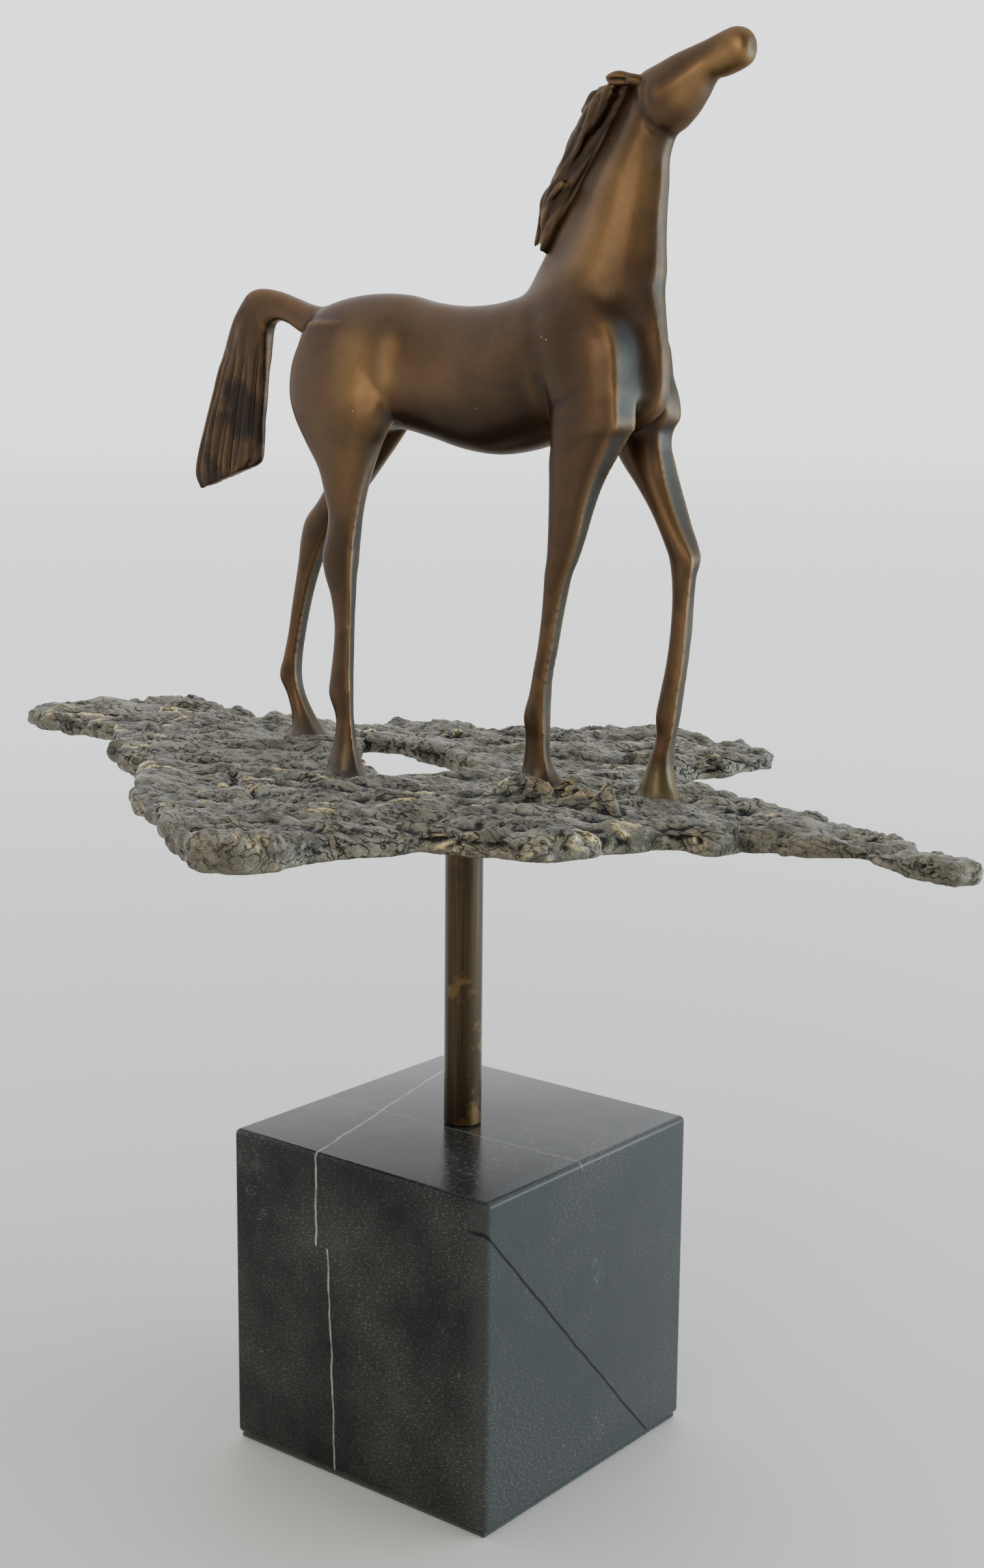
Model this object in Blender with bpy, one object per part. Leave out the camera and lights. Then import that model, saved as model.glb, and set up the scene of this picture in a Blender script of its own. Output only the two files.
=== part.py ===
"""Bronze horse on a rough cast bronze slab, carried by a tube post on a marble block.

Frame: +X is the way the horse faces, +Y is its left, +Z is up. The origin is the middle of the
underside of the base felt. Tables are in millimetres and become metres as vertices are made.
"""
import math

import bmesh
import bpy
from mathutils import Matrix, Vector

MM = 0.001
GAP = 0.3                # clearance between two pieces that touch

# Base block
BLOCK_SIDE = 120.0
BLOCK_HEIGHT = 120.0
BLOCK_BEVEL = 2.0
FELT_SIDE = 117.0
FELT_THICKNESS = 1.5
BLOCK_BOTTOM = FELT_THICKNESS + GAP
BLOCK_TOP = BLOCK_BOTTOM + BLOCK_HEIGHT

# Post and the threaded rod that ties it down
ROD_DIAMETER = 8.0
ROD_BORE = 9.0
COUNTERBORE_DIAMETER = 30.0
COUNTERBORE_DEPTH = 14.0
WASHER_DIAMETER = 24.0
WASHER_THICKNESS = 2.0
NUT_ACROSS_FLATS = 13.0
NUT_HEIGHT = 6.5
ROD_PAST_NUT = 2.0
POST_OUTER = 14.0
POST_INNER = 10.0
BOSS_DIAMETER = 22.0
BOSS_HEIGHT = 5.0

# Slab: the height of its upper face over the post, and its thickness there
SLAB_TOP = 253.0
SLAB_THICKNESS = 8.0
SLAB_BOTTOM = SLAB_TOP - SLAB_THICKNESS
SLAB_CELL = 15.0
BOSS_TOP = SLAB_BOTTOM - GAP
BOSS_BOTTOM = BOSS_TOP - BOSS_HEIGHT
POST_BOTTOM = BLOCK_TOP + GAP
POST_TOP = BOSS_BOTTOM - GAP

SLAB_OUTLINE = [
    (-256, 12), (-236, 0), (-206, -3), (-186, -2), (-166, -20), (-150, -36), (-130, -46),
    (-104, -60), (-92, -72), (-74, -92), (-47, -110), (-26, -123), (-5, -139), (14, -150),
    (31, -146), (37, -134), (36, -118), (45, -102), (54, -88), (72, -77), (90, -70), (99, -54),
    (109, -36), (124, -28), (126, -14), (146, -12), (168, -10), (190, -18), (205, -22),
    (209, -12), (196, -4), (178, 6), (158, 17), (124, 25), (98, 31), (78, 37), (64, 46), (52, 58),
    (49, 74), (56, 86), (59, 98), (60, 112), (48, 127), (33, 134), (12, 138), (-10, 134),
    (-27, 120), (-46, 108), (-64, 95), (-88, 95), (-110, 87), (-112, 71), (-123, 64),
    (-150, 48), (-174, 58), (-206, 76), (-230, 79), (-240, 54), (-253, 36),
]
SLAB_HOLE = [
    (-42, -6), (-25, -13), (-17, 3), (-11, 22), (-26, 33), (-50, 41), (-73, 47), (-82, 38),
    (-62, 12),
]

# Swells of the slab's upper face: x, y, radius, height
UPPER_SWELLS = [
    (-92, 16, 24, 3.6), (41, -10, 15, 5.0), (78, 12, 18, 1.0), (-39, -21, 14, -1.0),
    (-150, 30, 45, 2.0), (10, -130, 30, 1.5), (170, 2, 35, -2.0), (10, 110, 40, 2.0),
    (-60, -70, 22, -1.8), (60, -50, 20, 1.4),
]
# Swells of its lower face
LOWER_SWELLS = [
    (8, -138, 32, -0.5), (-150, 20, 50, 1.5), (190, -12, 45, 2.5), (55, 110, 40, 2.5),
    (-90, 60, 40, 1.5), (80, -60, 20, -0.5),
]

# Where each hoof stands
HOOVES = {
    "hind_right": (-36.0, -21.0),
    "hind_left": (-93.2, 16.0),
    "fore_right": (43.5, -10.5),
    "fore_left": (78.0, 12.5),
}
PIN_DIAMETER = 3.0
PIN_BORE = 3.6
PIN_IN_HOOF = 7.0
PIN_IN_SLAB = 5.5
BORE_PAST_PIN = 0.5

# Heights at which the castings of the horse are sectioned and welded
HIND_SECTION = 366.0
FORE_SECTION = 366.0
NECK_SECTION = 432.0

# Share of a section's depth at which its front is planed flat, and how much its crest narrows
NECK_FLAT = 0.93
NECK_PINCH = 0.35
SHOULDER_FLAT = 0.8
THIGH_FLAT = 0.9
LEG_FLAT = 0.85

LIMB_SIDES = 16
BODY_SIDES = 24
EAR_SIDES = 12

# Sections of the castings. Each row holds two opposite points of a section in the (x, z) plane,
# then half its width and the y of its middle.
TRUNK = [
    (-74, 406, -74, 389, 6, 0), (-71.5, 414, -71.5, 381, 12, 0), (-65, 419.5, -65, 375, 16.5, 0),
    (-55, 422.5, -54, 373.5, 19.2, 0), (-42, 424, -41, 375, 20, 0), (-28, 423.5, -28, 376, 19.5, 0),
    (-14, 420.5, -13, 373, 18.2, 0), (0, 419, 1, 369.5, 18, 0), (14, 419.5, 15, 368, 18.8, 0),
    (28, 423, 28, 369.5, 19.5, 0), (44, 424, 42, 373, 19.5, 0), (60, 420, 58, 376, 18.5, 0),
    (72, 414, 70, 380, 15, 0), (79, 404, 78, 386, 8, 0),
]
NECK_BASE = [
    (81, NECK_SECTION - GAP, 33, NECK_SECTION - GAP, 13.6, 0), (81, 424, 28, 424, 15.5, 0),
    (81.5, 412, 24, 412, 17, 0), (81.5, 400, 24, 400, 17, 0), (80.5, 391, 40, 391, 13, 0),
    (77, 383, 50, 384, 6, 0),
]
NECK = [
    (81, NECK_SECTION, 33, NECK_SECTION, 13.6, 0), (80.8, 440, 38, 440, 12, 0),
    (81.2, 452, 46, 453, 10.2, 0), (82, 462, 54, 466, 8.8, 0), (83, 469, 62, 479, 7.6, 0),
    (86, 476, 69.5, 488, 6.5, 0),
]
HEAD = [
    (70, 489, 73.5, 477, 4.5, 0), (74, 491.3, 79, 471.5, 7.6, 0), (79.5, 493.3, 85, 471.3, 8.3, 0),
    (85.5, 495.6, 91, 475.5, 7.6, 0), (91.5, 497.4, 95.5, 480.8, 6.2, 0),
    (97, 499, 99.3, 486.3, 5.1, 0), (102, 500.8, 103.8, 487.3, 4.8, 0),
    (107, 502, 108.6, 488.8, 5, 0), (111, 501, 112, 490.6, 4.2, 0), (113.2, 498.4, 113.4, 493, 2.4, 0),
]
SHOULDER = [
    (52, 429, 42, 429, 3.2, -11), (62, 421, 38, 421, 5, -12.5), (71, 411, 38, 411, 5.6, -14),
    (75, 402, 40, 402, 6, -14.8), (76.5, 391, 43.5, 391, 6.6, -15), (77, 381, 47, 381, 7.5, -15),
    (71.4, FORE_SECTION, 49.6, FORE_SECTION, 7.2, -14.4),
]
# The left foreleg swings forward, so its shoulder ends further forward
SHOULDER_LEFT_END = (76, FORE_SECTION, 56, FORE_SECTION, 7.4, 14)
THIGH_RIGHT = [
    (-33, 412, -62, 412, 5, -13), (-27, 400, -69.5, 400, 7.5, -13.5), (-22, 388, -69, 388, 9.5, -14),
    (-20.5, 380, -64.5, 380, 10.6, -14.3), (-24.4, HIND_SECTION, -54.6, HIND_SECTION, 10, -15.2),
]
THIGH_LEFT = [
    (-33, 412, -62, 412, 5, 13), (-28, 400, -69.5, 400, 7.5, 13.5), (-29, 388, -73, 388, 9.5, 14),
    (-33, 380, -73, 380, 10.6, 14.3), (-46.6, HIND_SECTION, -73.6, HIND_SECTION, 9.4, 15.2),
]
HIND_RIGHT = [
    (-24.4, HIND_SECTION - GAP, -54.6, HIND_SECTION - GAP, 10, -15.2), (-28.2, 355, -49, 355, 8.2, -16.5),
    (-30.3, 346, -46.4, 346, 6.5, -17.3), (-32, 338, -47.6, 338, 5.6, -18),
    (-33.4, 331, -49.2, 331, 5.2, -18.5), (-34.8, 324, -47, 324, 4.7, -18.8),
    (-36, 314, -43.8, 314, 3.9, -19.2), (-36.6, 298, -43.2, 298, 3.6, -19.8),
    (-36.4, 286, -43.8, 286, 3.9, -20.4), (-36, 280, -43.8, 280, 4.1, -20.6),
    (-35.4, 274, -40.6, 274, 3.6, -20.8), (-34, 265, -41, 265, 4.3, -21),
    (-31, 258, -42, 258, 5.6, -21), (-29.4, 253.5, -43, 253.5, 6.6, -21),
    (-29.4, 249, -43, 249, 6.6, -21),
]
HIND_LEFT = [
    (-46.6, HIND_SECTION - GAP, -73.6, HIND_SECTION - GAP, 9.4, 15.2), (-58.5, 355, -79, 355, 7.8, 15.8),
    (-67.5, 347, -85.5, 347, 6.2, 16), (-75, 340, -91.5, 340, 5.3, 16),
    (-81, 331, -94, 331, 4.7, 16), (-86, 322, -95.6, 322, 4.1, 16),
    (-90.6, 311, -97.6, 311, 3.6, 16), (-93.8, 298, -99.8, 298, 3.5, 16),
    (-96.2, 286, -103, 286, 3.9, 16), (-97.4, 279, -106, 279, 4.2, 16),
    (-94, 271.5, -101, 271.5, 3.7, 16), (-89.4, 265, -99, 265, 4.5, 16),
    (-85.6, 259.5, -98.4, 259.5, 5.9, 16), (-84.2, 257, -98.4, 257, 6.4, 16),
    (-84.2, 252, -98.4, 252, 6.4, 16),
]
FORE_RIGHT = [
    (71.4, FORE_SECTION - GAP, 49.6, FORE_SECTION - GAP, 7.2, -14.4),
    (67.6, 355, 49.6, 355, 6.6, -14), (62.4, 344, 49, 344, 5.6, -13.6),
    (59.4, 335, 48.2, 335, 5, -13.2), (56, 328.5, 47.4, 328.5, 4.4, -13),
    (52, 314, 45.6, 314, 3.7, -12.6), (49, 298, 42.8, 298, 3.4, -12),
    (48.4, 288, 40.2, 288, 3.9, -11.6), (48.4, 280.5, 38.4, 280.5, 4.1, -11.4),
    (48, 273, 39.2, 273, 3.9, -11), (49, 266.5, 38.4, 266.5, 4.8, -10.8),
    (51.4, 260.5, 36.8, 260.5, 6.2, -10.5), (52, 258, 36, 258, 6.8, -10.5),
    (52, 252.5, 36, 252.5, 6.8, -10.5),
]
FORE_LEFT = [
    (76, FORE_SECTION - GAP, 56, FORE_SECTION - GAP, 7.4, 14),
    (81.4, 360, 66.5, 360, 6.4, 13.6), (85.6, 349, 73, 349, 5.6, 13.2),
    (88.4, 340, 78, 340, 5, 13), (89.6, 335, 79.4, 335, 4.8, 12.8),
    (88.6, 329, 80.2, 329, 4.2, 12.6), (87.4, 314, 80.6, 314, 3.6, 12.4),
    (85.8, 299, 79, 299, 3.5, 12.3), (84.6, 288, 76.6, 288, 3.9, 12.2),
    (84, 281, 75.4, 281, 4.1, 12.1), (83.4, 275, 76, 275, 3.7, 12),
    (83.2, 266, 73.4, 266, 4.6, 12.2), (84.2, 259.5, 71.4, 259.5, 6, 12.4),
    (85.4, 255, 70.4, 255, 6.8, 12.5), (85.4, 250, 70.4, 250, 6.8, 12.5),
]
TAIL_DOCK = [
    (-64, 419, -69, 407, 6.2, 0), (-75, 421, -79, 410.5, 5.2, 0), (-82, 423.2, -84.5, 413.6, 4.6, 0),
    (-91, 426, -90, 415.2, 4.5, 0), (-100, 427, -95, 413.5, 4.8, 0), (-104.5, 425.8, -95.8, 411, 4.9, 0),
]
TAIL_SWITCH = [
    (-105, 425.6, -96, 410.6, 4.9, 0), (-112, 419, -97, 403, 4.6, 0), (-118, 408, -98, 395, 4.3, 0),
    (-123, 396, -99, 386, 4.2, 0), (-128, 384, -100, 377, 4.2, 0), (-132.6, 371, -100.4, 369, 4, 0),
    (-135, 359, -101.4, 363.4, 3.4, 0), (-133, 353.6, -104, 361.2, 2.6, 0),
]
MANE_CREST = [
    (68, 484, 58, 489.5, 3, 2), (62, 478, 50.5, 484, 5, 3), (55.5, 468, 45, 474, 6, 4),
    (49, 458, 38, 465, 6.5, 4.5), (43, 450, 33, 457, 6.5, 5), (38, 443, 28.5, 447, 5.5, 5),
    (34, 437.5, 28.5, 440, 3, 5),
]
# Free tips of the mane: root x, z and tip x, z, with the radius at the root
MANE_TIPS = [
    (42, 468, 33, 456.5, 4.2), (36, 455, 28, 441, 4),
]
EAR = [
    (77, 489.6, 76.6, 485.8, 2.2, -5.4), (72.5, 491, 72, 486.4, 2.6, -5.8),
    (67.5, 491.4, 67.4, 487.4, 2.2, -6.2), (63.2, 491, 63.4, 489, 0.9, -6.6),
]

BRONZE_BROWN = (0.105, 0.062, 0.034)
BRONZE_HAIR = (0.060, 0.036, 0.021)
BRONZE_BARK = (0.085, 0.072, 0.048)
BRONZE_POST = (0.120, 0.074, 0.036)
BRASS_BRIGHT = (0.42, 0.27, 0.10)
STEEL_GREY = (0.35, 0.35, 0.36)
MARBLE_BLACK = (0.028, 0.026, 0.025)
FELT_GREEN = (0.016, 0.036, 0.024)


def clear_scene():
    for item in list(bpy.data.objects):
        bpy.data.objects.remove(item, do_unlink=True)


def make_material(name, colour, roughness, metallic):
    material = bpy.data.materials.new(name)
    material.use_nodes = True
    shader = material.node_tree.nodes["Principled BSDF"]
    shader.inputs["Base Color"].default_value = (*colour, 1.0)
    shader.inputs["Roughness"].default_value = roughness
    shader.inputs["Metallic"].default_value = metallic
    return material


def add_object(name, bm, material):
    bmesh.ops.recalc_face_normals(bm, faces=bm.faces)
    mesh = bpy.data.meshes.new(name)
    bm.to_mesh(mesh)
    bm.free()
    mesh.shade_smooth()
    mesh.set_sharp_from_angle(angle=math.radians(40))
    item = bpy.data.objects.new(name, mesh)
    bpy.context.collection.objects.link(item)
    if material is not None:
        item.data.materials.append(material)
    return item


def as_guide(item):
    item.hide_render = True
    item.display_type = "WIRE"
    return item


def combine(item, other, operation):
    modifier = item.modifiers.new(f"{operation.lower()}_{other.name}", "BOOLEAN")
    modifier.operation = operation
    modifier.solver = "EXACT"
    modifier.object = as_guide(other)


def ring(row, sides, grow=0.0, flat=1.0, pinch=0.0):
    """Closed elliptical section between the row's two points.

    flat below 1 planes off the side of the first point, and pinch narrows the other side."""
    first_x, first_z, second_x, second_z, half_width, side = row
    middle = Vector(((first_x + second_x) / 2, side, (first_z + second_z) / 2))
    reach = Vector((first_x, side, first_z)) - middle
    reach = reach.normalized() * (reach.length + grow)
    points = []
    for step in range(sides):
        angle = 2 * math.pi * (step + 0.5) / sides
        along = min(math.cos(angle), flat) / flat
        across = math.sin(angle) * (1 + pinch * math.cos(angle)) * (half_width + grow)
        points.append((middle + reach * along + Vector((0, across, 0))) * MM)
    return points


def skin(rings):
    """Solid that runs through the rings and is capped at both ends."""
    bm = bmesh.new()
    loops = [[bm.verts.new(point) for point in points] for points in rings]
    for lower, upper in zip(loops, loops[1:]):
        for step in range(len(lower)):
            after = (step + 1) % len(lower)
            bm.faces.new((lower[step], lower[after], upper[after], upper[step]))
    bm.faces.new(loops[0])
    bm.faces.new(loops[-1][::-1])
    return bm


def loft(name, rows, material=None, sides=LIMB_SIDES, grow=0.0, flat=1.0, pinch=0.0):
    rings = [ring(row, sides, grow, flat, pinch) for row in rows]
    return add_object(name, skin(rings), material)


def neck_loft(name, material=None, grow=0.0):
    return loft(name, NECK, material, BODY_SIDES, grow, NECK_FLAT, NECK_PINCH)


def mirrored(rows):
    return [(*row[:5], -row[5]) for row in rows]


def cylinder(name, diameter, bottom, top, material=None, sides=32, centre=(0.0, 0.0)):
    bm = bmesh.new()
    bmesh.ops.create_cone(
        bm, cap_ends=True, segments=sides, radius1=diameter / 2 * MM, radius2=diameter / 2 * MM,
        depth=(top - bottom) * MM,
        matrix=Matrix.Translation(Vector((*centre, (top + bottom) / 2)) * MM),
    )
    return add_object(name, bm, material)


def box(name, low, high, material=None, bevel=0.0):
    bm = bmesh.new()
    size = Vector(high) - Vector(low)
    middle = (Vector(high) + Vector(low)) / 2 * MM
    scale = Matrix.Diagonal((*(size * MM), 1.0))
    bmesh.ops.create_cube(bm, size=1.0, matrix=Matrix.Translation(middle) @ scale)
    if bevel:
        bmesh.ops.bevel(bm, geom=bm.edges[:], offset=bevel * MM, segments=3, profile=0.5,
                        affect="EDGES")
    return add_object(name, bm, material)


def make_base(marble, felt, steel):
    half = BLOCK_SIDE / 2
    block = box("marble_base", (-half, -half, BLOCK_BOTTOM), (half, half, BLOCK_TOP), marble,
                BLOCK_BEVEL)
    ceiling = BLOCK_BOTTOM + COUNTERBORE_DEPTH
    combine(block, cylinder("rod_bore", ROD_BORE, BLOCK_BOTTOM - 5, BLOCK_TOP + 5), "DIFFERENCE")
    recess = cylinder("nut_recess", COUNTERBORE_DIAMETER, BLOCK_BOTTOM - 5, ceiling)
    combine(block, recess, "DIFFERENCE")

    half_felt = FELT_SIDE / 2
    box("base_felt", (-half_felt, -half_felt, 0), (half_felt, half_felt, FELT_THICKNESS), felt)

    washer_bottom = ceiling - GAP - WASHER_THICKNESS
    washer = cylinder("rod_washer", WASHER_DIAMETER, washer_bottom, ceiling - GAP, steel)
    combine(washer, cylinder("washer_bore", ROD_BORE, washer_bottom - 2, ceiling + 2), "DIFFERENCE")

    nut_top = washer_bottom - GAP
    nut_bottom = nut_top - NUT_HEIGHT
    across_corners = NUT_ACROSS_FLATS / math.cos(math.pi / 6)
    nut = cylinder("rod_nut", across_corners, nut_bottom, nut_top, steel, sides=6)
    combine(nut, cylinder("nut_bore", ROD_BORE, nut_bottom - 2, nut_top + 2), "DIFFERENCE")
    cylinder("tie_rod", ROD_DIAMETER, nut_bottom - ROD_PAST_NUT, BOSS_TOP, steel, sides=24)


def make_post(bronze):
    post = cylinder("support_post", POST_OUTER, POST_BOTTOM, POST_TOP, bronze, sides=40)
    combine(post, cylinder("post_bore", POST_INNER, POST_BOTTOM - 5, POST_TOP + 5), "DIFFERENCE")
    boss = cylinder("post_boss", BOSS_DIAMETER, BOSS_BOTTOM, BOSS_TOP, bronze)
    combine(boss, cylinder("boss_bore", ROD_BORE, BOSS_BOTTOM - 5, BOSS_TOP + 5), "DIFFERENCE")


def swell(x, y, bumps):
    return sum(h * math.exp(-((x - cx) ** 2 + (y - cy) ** 2) / r ** 2) for cx, cy, r, h in bumps)


def upper_face(x, y):
    return SLAB_TOP + swell(x, y, UPPER_SWELLS) + 0.6 * math.sin(x / 17) * math.cos(y / 13)


def lower_face(x, y):
    """Underside, flat over the boss and wavy further out."""
    outward = min(math.hypot(x, y) / 60, 1.0)
    return SLAB_BOTTOM + (swell(x, y, LOWER_SWELLS) + 0.5 * math.sin(x / 21) * math.sin(y / 16)) * outward


def prism(outline, bottom, top):
    bm = bmesh.new()
    face = bm.faces.new([bm.verts.new(Vector((x, y, bottom)) * MM) for x, y in outline])
    made = bmesh.ops.extrude_face_region(bm, geom=[face])
    raised = [item for item in made["geom"] if isinstance(item, bmesh.types.BMVert)]
    bmesh.ops.translate(bm, verts=raised, vec=Vector((0, 0, (top - bottom) * MM)))
    return bm


def slab_mesh(raise_by=0.0):
    """Slab cut into cells, its two faces then shaped by their heights."""
    bm = prism(SLAB_OUTLINE, 0.0, SLAB_THICKNESS)
    for axis in (0, 1):
        places = [point[axis] for point in SLAB_OUTLINE]
        cut = min(places) + SLAB_CELL
        while cut < max(places):
            where = Vector((0, 0, 0))
            where[axis] = cut * MM
            normal = Vector((0, 0, 0))
            normal[axis] = 1
            geometry = bm.verts[:] + bm.edges[:] + bm.faces[:]
            bmesh.ops.bisect_plane(bm, geom=geometry, plane_co=where, plane_no=normal,
                                   dist=1e-6)
            cut += SLAB_CELL
    bmesh.ops.triangulate(bm, faces=bm.faces[:])
    for vert in bm.verts:
        x, y = vert.co.x / MM, vert.co.y / MM
        is_upper = vert.co.z > SLAB_THICKNESS / 2 * MM
        height = upper_face(x, y) if is_upper else lower_face(x, y)
        vert.co.z = (height + raise_by) * MM
    return bm


def make_slab(bark):
    slab = add_object("terrain_slab", slab_mesh(), bark)
    hole = add_object("slab_hole", prism(SLAB_HOLE, SLAB_BOTTOM - 20, SLAB_TOP + 20), None)
    combine(slab, hole, "DIFFERENCE")
    for name, (x, y) in HOOVES.items():
        low = upper_face(x, y) - PIN_IN_SLAB - BORE_PAST_PIN
        bore = cylinder(f"slab_bore_{name}", PIN_BORE, low, SLAB_TOP + 20, sides=12, centre=(x, y))
        combine(slab, bore, "DIFFERENCE")


def make_trunk(bronze):
    trunk = loft("torso", TRUNK, bronze, BODY_SIDES)
    neck_base = loft("neck_base", NECK_BASE, sides=BODY_SIDES, flat=NECK_FLAT, pinch=NECK_PINCH)
    combine(trunk, neck_base, "UNION")
    muscles = {
        "shoulder_right": (SHOULDER, SHOULDER_FLAT), "thigh_right": (THIGH_RIGHT, THIGH_FLAT),
        "shoulder_left": (mirrored(SHOULDER[:-1]) + [SHOULDER_LEFT_END], SHOULDER_FLAT),
        "thigh_left": (THIGH_LEFT, THIGH_FLAT),
    }
    for name, (rows, flat) in muscles.items():
        combine(trunk, loft(name, rows, flat=flat), "UNION")


def make_legs(bronze, brass):
    raised = add_object("slab_clearance", slab_mesh(GAP), None)
    legs = {
        "hind_right": HIND_RIGHT, "hind_left": HIND_LEFT,
        "fore_right": FORE_RIGHT, "fore_left": FORE_LEFT,
    }
    for name, rows in legs.items():
        x, y = HOOVES[name]
        ground = upper_face(x, y)
        leg = loft(f"leg_{name}", rows, bronze, flat=LEG_FLAT)
        combine(leg, raised, "DIFFERENCE")
        top = ground + PIN_IN_HOOF + BORE_PAST_PIN
        bore = cylinder(f"hoof_bore_{name}", PIN_BORE, ground - 20, top, sides=12, centre=(x, y))
        combine(leg, bore, "DIFFERENCE")
        cylinder(f"hoof_pin_{name}", PIN_DIAMETER, ground - PIN_IN_SLAB, ground + PIN_IN_HOOF,
                 brass, sides=12, centre=(x, y))


def head_section_box(name, clearance):
    """Everything ahead of the plane that parts the head from the neck."""
    throat = Vector((85.0, 0.0, 469.0))
    poll = Vector((70.5, 0.0, 491.0))
    along = (poll - throat).normalized()
    ahead = Vector((along.z, 0.0, -along.x))
    size = 60.0
    middle = throat + ahead * (size / 2 + clearance) + along * 10
    turn = Matrix((ahead, Vector((0, 1, 0)), along)).transposed().to_4x4()
    bm = bmesh.new()
    bmesh.ops.create_cube(bm, size=size * MM, matrix=Matrix.Translation(middle * MM) @ turn)
    return add_object(name, bm, None)


def make_neck_and_head(bronze):
    neck = neck_loft("neck", bronze)
    combine(neck, head_section_box("neck_section", 0.0), "DIFFERENCE")
    head = loft("head", HEAD, bronze, BODY_SIDES)
    combine(head, head_section_box("head_section", GAP), "INTERSECT")


def make_ears(bronze):
    for side, rows in (("right", EAR), ("left", mirrored(EAR))):
        ear = loft(f"ear_{side}", rows, bronze, EAR_SIDES)
        combine(ear, loft(f"ear_seat_{side}", HEAD, sides=BODY_SIDES, grow=GAP), "DIFFERENCE")
        combine(ear, neck_loft(f"ear_crest_{side}", grow=GAP), "DIFFERENCE")


def make_mane(hair):
    mane = loft("mane", MANE_CREST, hair)
    for number, (root_x, root_z, tip_x, tip_z, radius) in enumerate(MANE_TIPS):
        root = Vector((root_x, 7.0, root_z))
        tip = Vector((tip_x, 6.0, tip_z))
        bm = bmesh.new()
        turn = (tip - root).to_track_quat("Z", "Y").to_matrix().to_4x4()
        middle = Matrix.Translation((root + tip) / 2 * MM)
        bmesh.ops.create_cone(bm, cap_ends=True, segments=10, radius1=radius * MM,
                              radius2=radius * 0.35 * MM, depth=(tip - root).length * MM,
                              matrix=middle @ turn)
        combine(mane, add_object(f"mane_tip_{number}", bm, None), "UNION")
    combine(mane, neck_loft("crest_seat", grow=GAP), "DIFFERENCE")
    combine(mane, loft("poll_seat", HEAD, sides=BODY_SIDES, grow=GAP), "DIFFERENCE")
    for side, rows in (("right", EAR), ("left", mirrored(EAR))):
        combine(mane, loft(f"ear_clearance_{side}", rows, sides=EAR_SIDES, grow=GAP), "DIFFERENCE")


def make_tail(bronze, hair):
    dock = loft("tail_dock", TAIL_DOCK, bronze, flat=0.95)
    combine(dock, loft("dock_seat", TRUNK, sides=BODY_SIDES, grow=GAP), "DIFFERENCE")
    loft("tail_switch", TAIL_SWITCH, hair)


def build():
    clear_scene()
    bronze = make_material("bronze_brown", BRONZE_BROWN, 0.36, 1.0)
    hair = make_material("bronze_hair", BRONZE_HAIR, 0.5, 1.0)
    bark = make_material("bronze_bark", BRONZE_BARK, 0.55, 1.0)
    post = make_material("bronze_post", BRONZE_POST, 0.4, 1.0)
    brass = make_material("brass_bright", BRASS_BRIGHT, 0.35, 1.0)
    steel = make_material("steel_grey", STEEL_GREY, 0.35, 1.0)
    marble = make_material("marble_black", MARBLE_BLACK, 0.15, 0.0)
    felt = make_material("felt_green", FELT_GREEN, 0.95, 0.0)
    make_base(marble, felt, steel)
    make_post(post)
    make_slab(bark)
    make_trunk(bronze)
    make_legs(bronze, brass)
    make_neck_and_head(bronze)
    make_ears(bronze)
    make_mane(hair)
    make_tail(bronze, hair)


build()
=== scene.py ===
"""Looks of the bronze horse on its slab, post and stone block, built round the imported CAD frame.

Lengths in the tables are millimetres in the row frame (+X the way the horse faces, +Y its left,
+Z up, origin in the middle of the base's underside); MM turns them into metres.
"""
import math

import bmesh
import bpy
import numpy as np
from mathutils import Matrix, Vector, noise


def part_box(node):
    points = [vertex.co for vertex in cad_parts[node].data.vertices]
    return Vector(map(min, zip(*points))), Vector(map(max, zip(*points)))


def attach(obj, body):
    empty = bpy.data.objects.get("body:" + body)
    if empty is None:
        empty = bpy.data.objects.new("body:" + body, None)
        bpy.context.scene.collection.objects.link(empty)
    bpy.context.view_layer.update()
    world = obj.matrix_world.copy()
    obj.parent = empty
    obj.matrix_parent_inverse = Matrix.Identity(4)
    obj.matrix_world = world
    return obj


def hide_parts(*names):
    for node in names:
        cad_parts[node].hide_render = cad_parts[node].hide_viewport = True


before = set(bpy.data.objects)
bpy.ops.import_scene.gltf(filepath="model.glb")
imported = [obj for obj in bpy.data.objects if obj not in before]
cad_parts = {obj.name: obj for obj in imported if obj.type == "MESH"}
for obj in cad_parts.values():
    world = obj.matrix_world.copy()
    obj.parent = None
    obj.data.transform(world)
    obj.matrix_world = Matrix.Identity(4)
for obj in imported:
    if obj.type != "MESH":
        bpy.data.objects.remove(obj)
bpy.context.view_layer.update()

MM = 0.001

# Camera: where it stands, which way it looks, and its lens
CAMERA_AT = (0.4836, -0.5928, 0.3876)
CAMERA_AZIMUTH = math.radians(-38.47)
CAMERA_DOWN = math.radians(10.21)
CAMERA_ROLL = math.radians(0.52)
CAMERA_LENS = 49.25

# Voxel sizes of the sculpted meshes, in millimetres
SKIN_VOXEL = 0.8
HAIR_VOXEL = 0.55
SLAB_VOXEL = 0.95

RING_SIDES = 64
ROWS_BETWEEN = 6

# Heights and planes at which the castings meet
LEG_SECTION = 366
NECK_SECTION = 432
THROAT = (85, 469)
POLL = (70.5, 491)
DOCK_SECTION_X = -75.5
UNDER_DOCK = (0, 0, 400)
BETWEEN_LEGS = (10, 0, 0)
UP = (0, 0, 1)
DOWN = (0, 0, -1)

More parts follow.
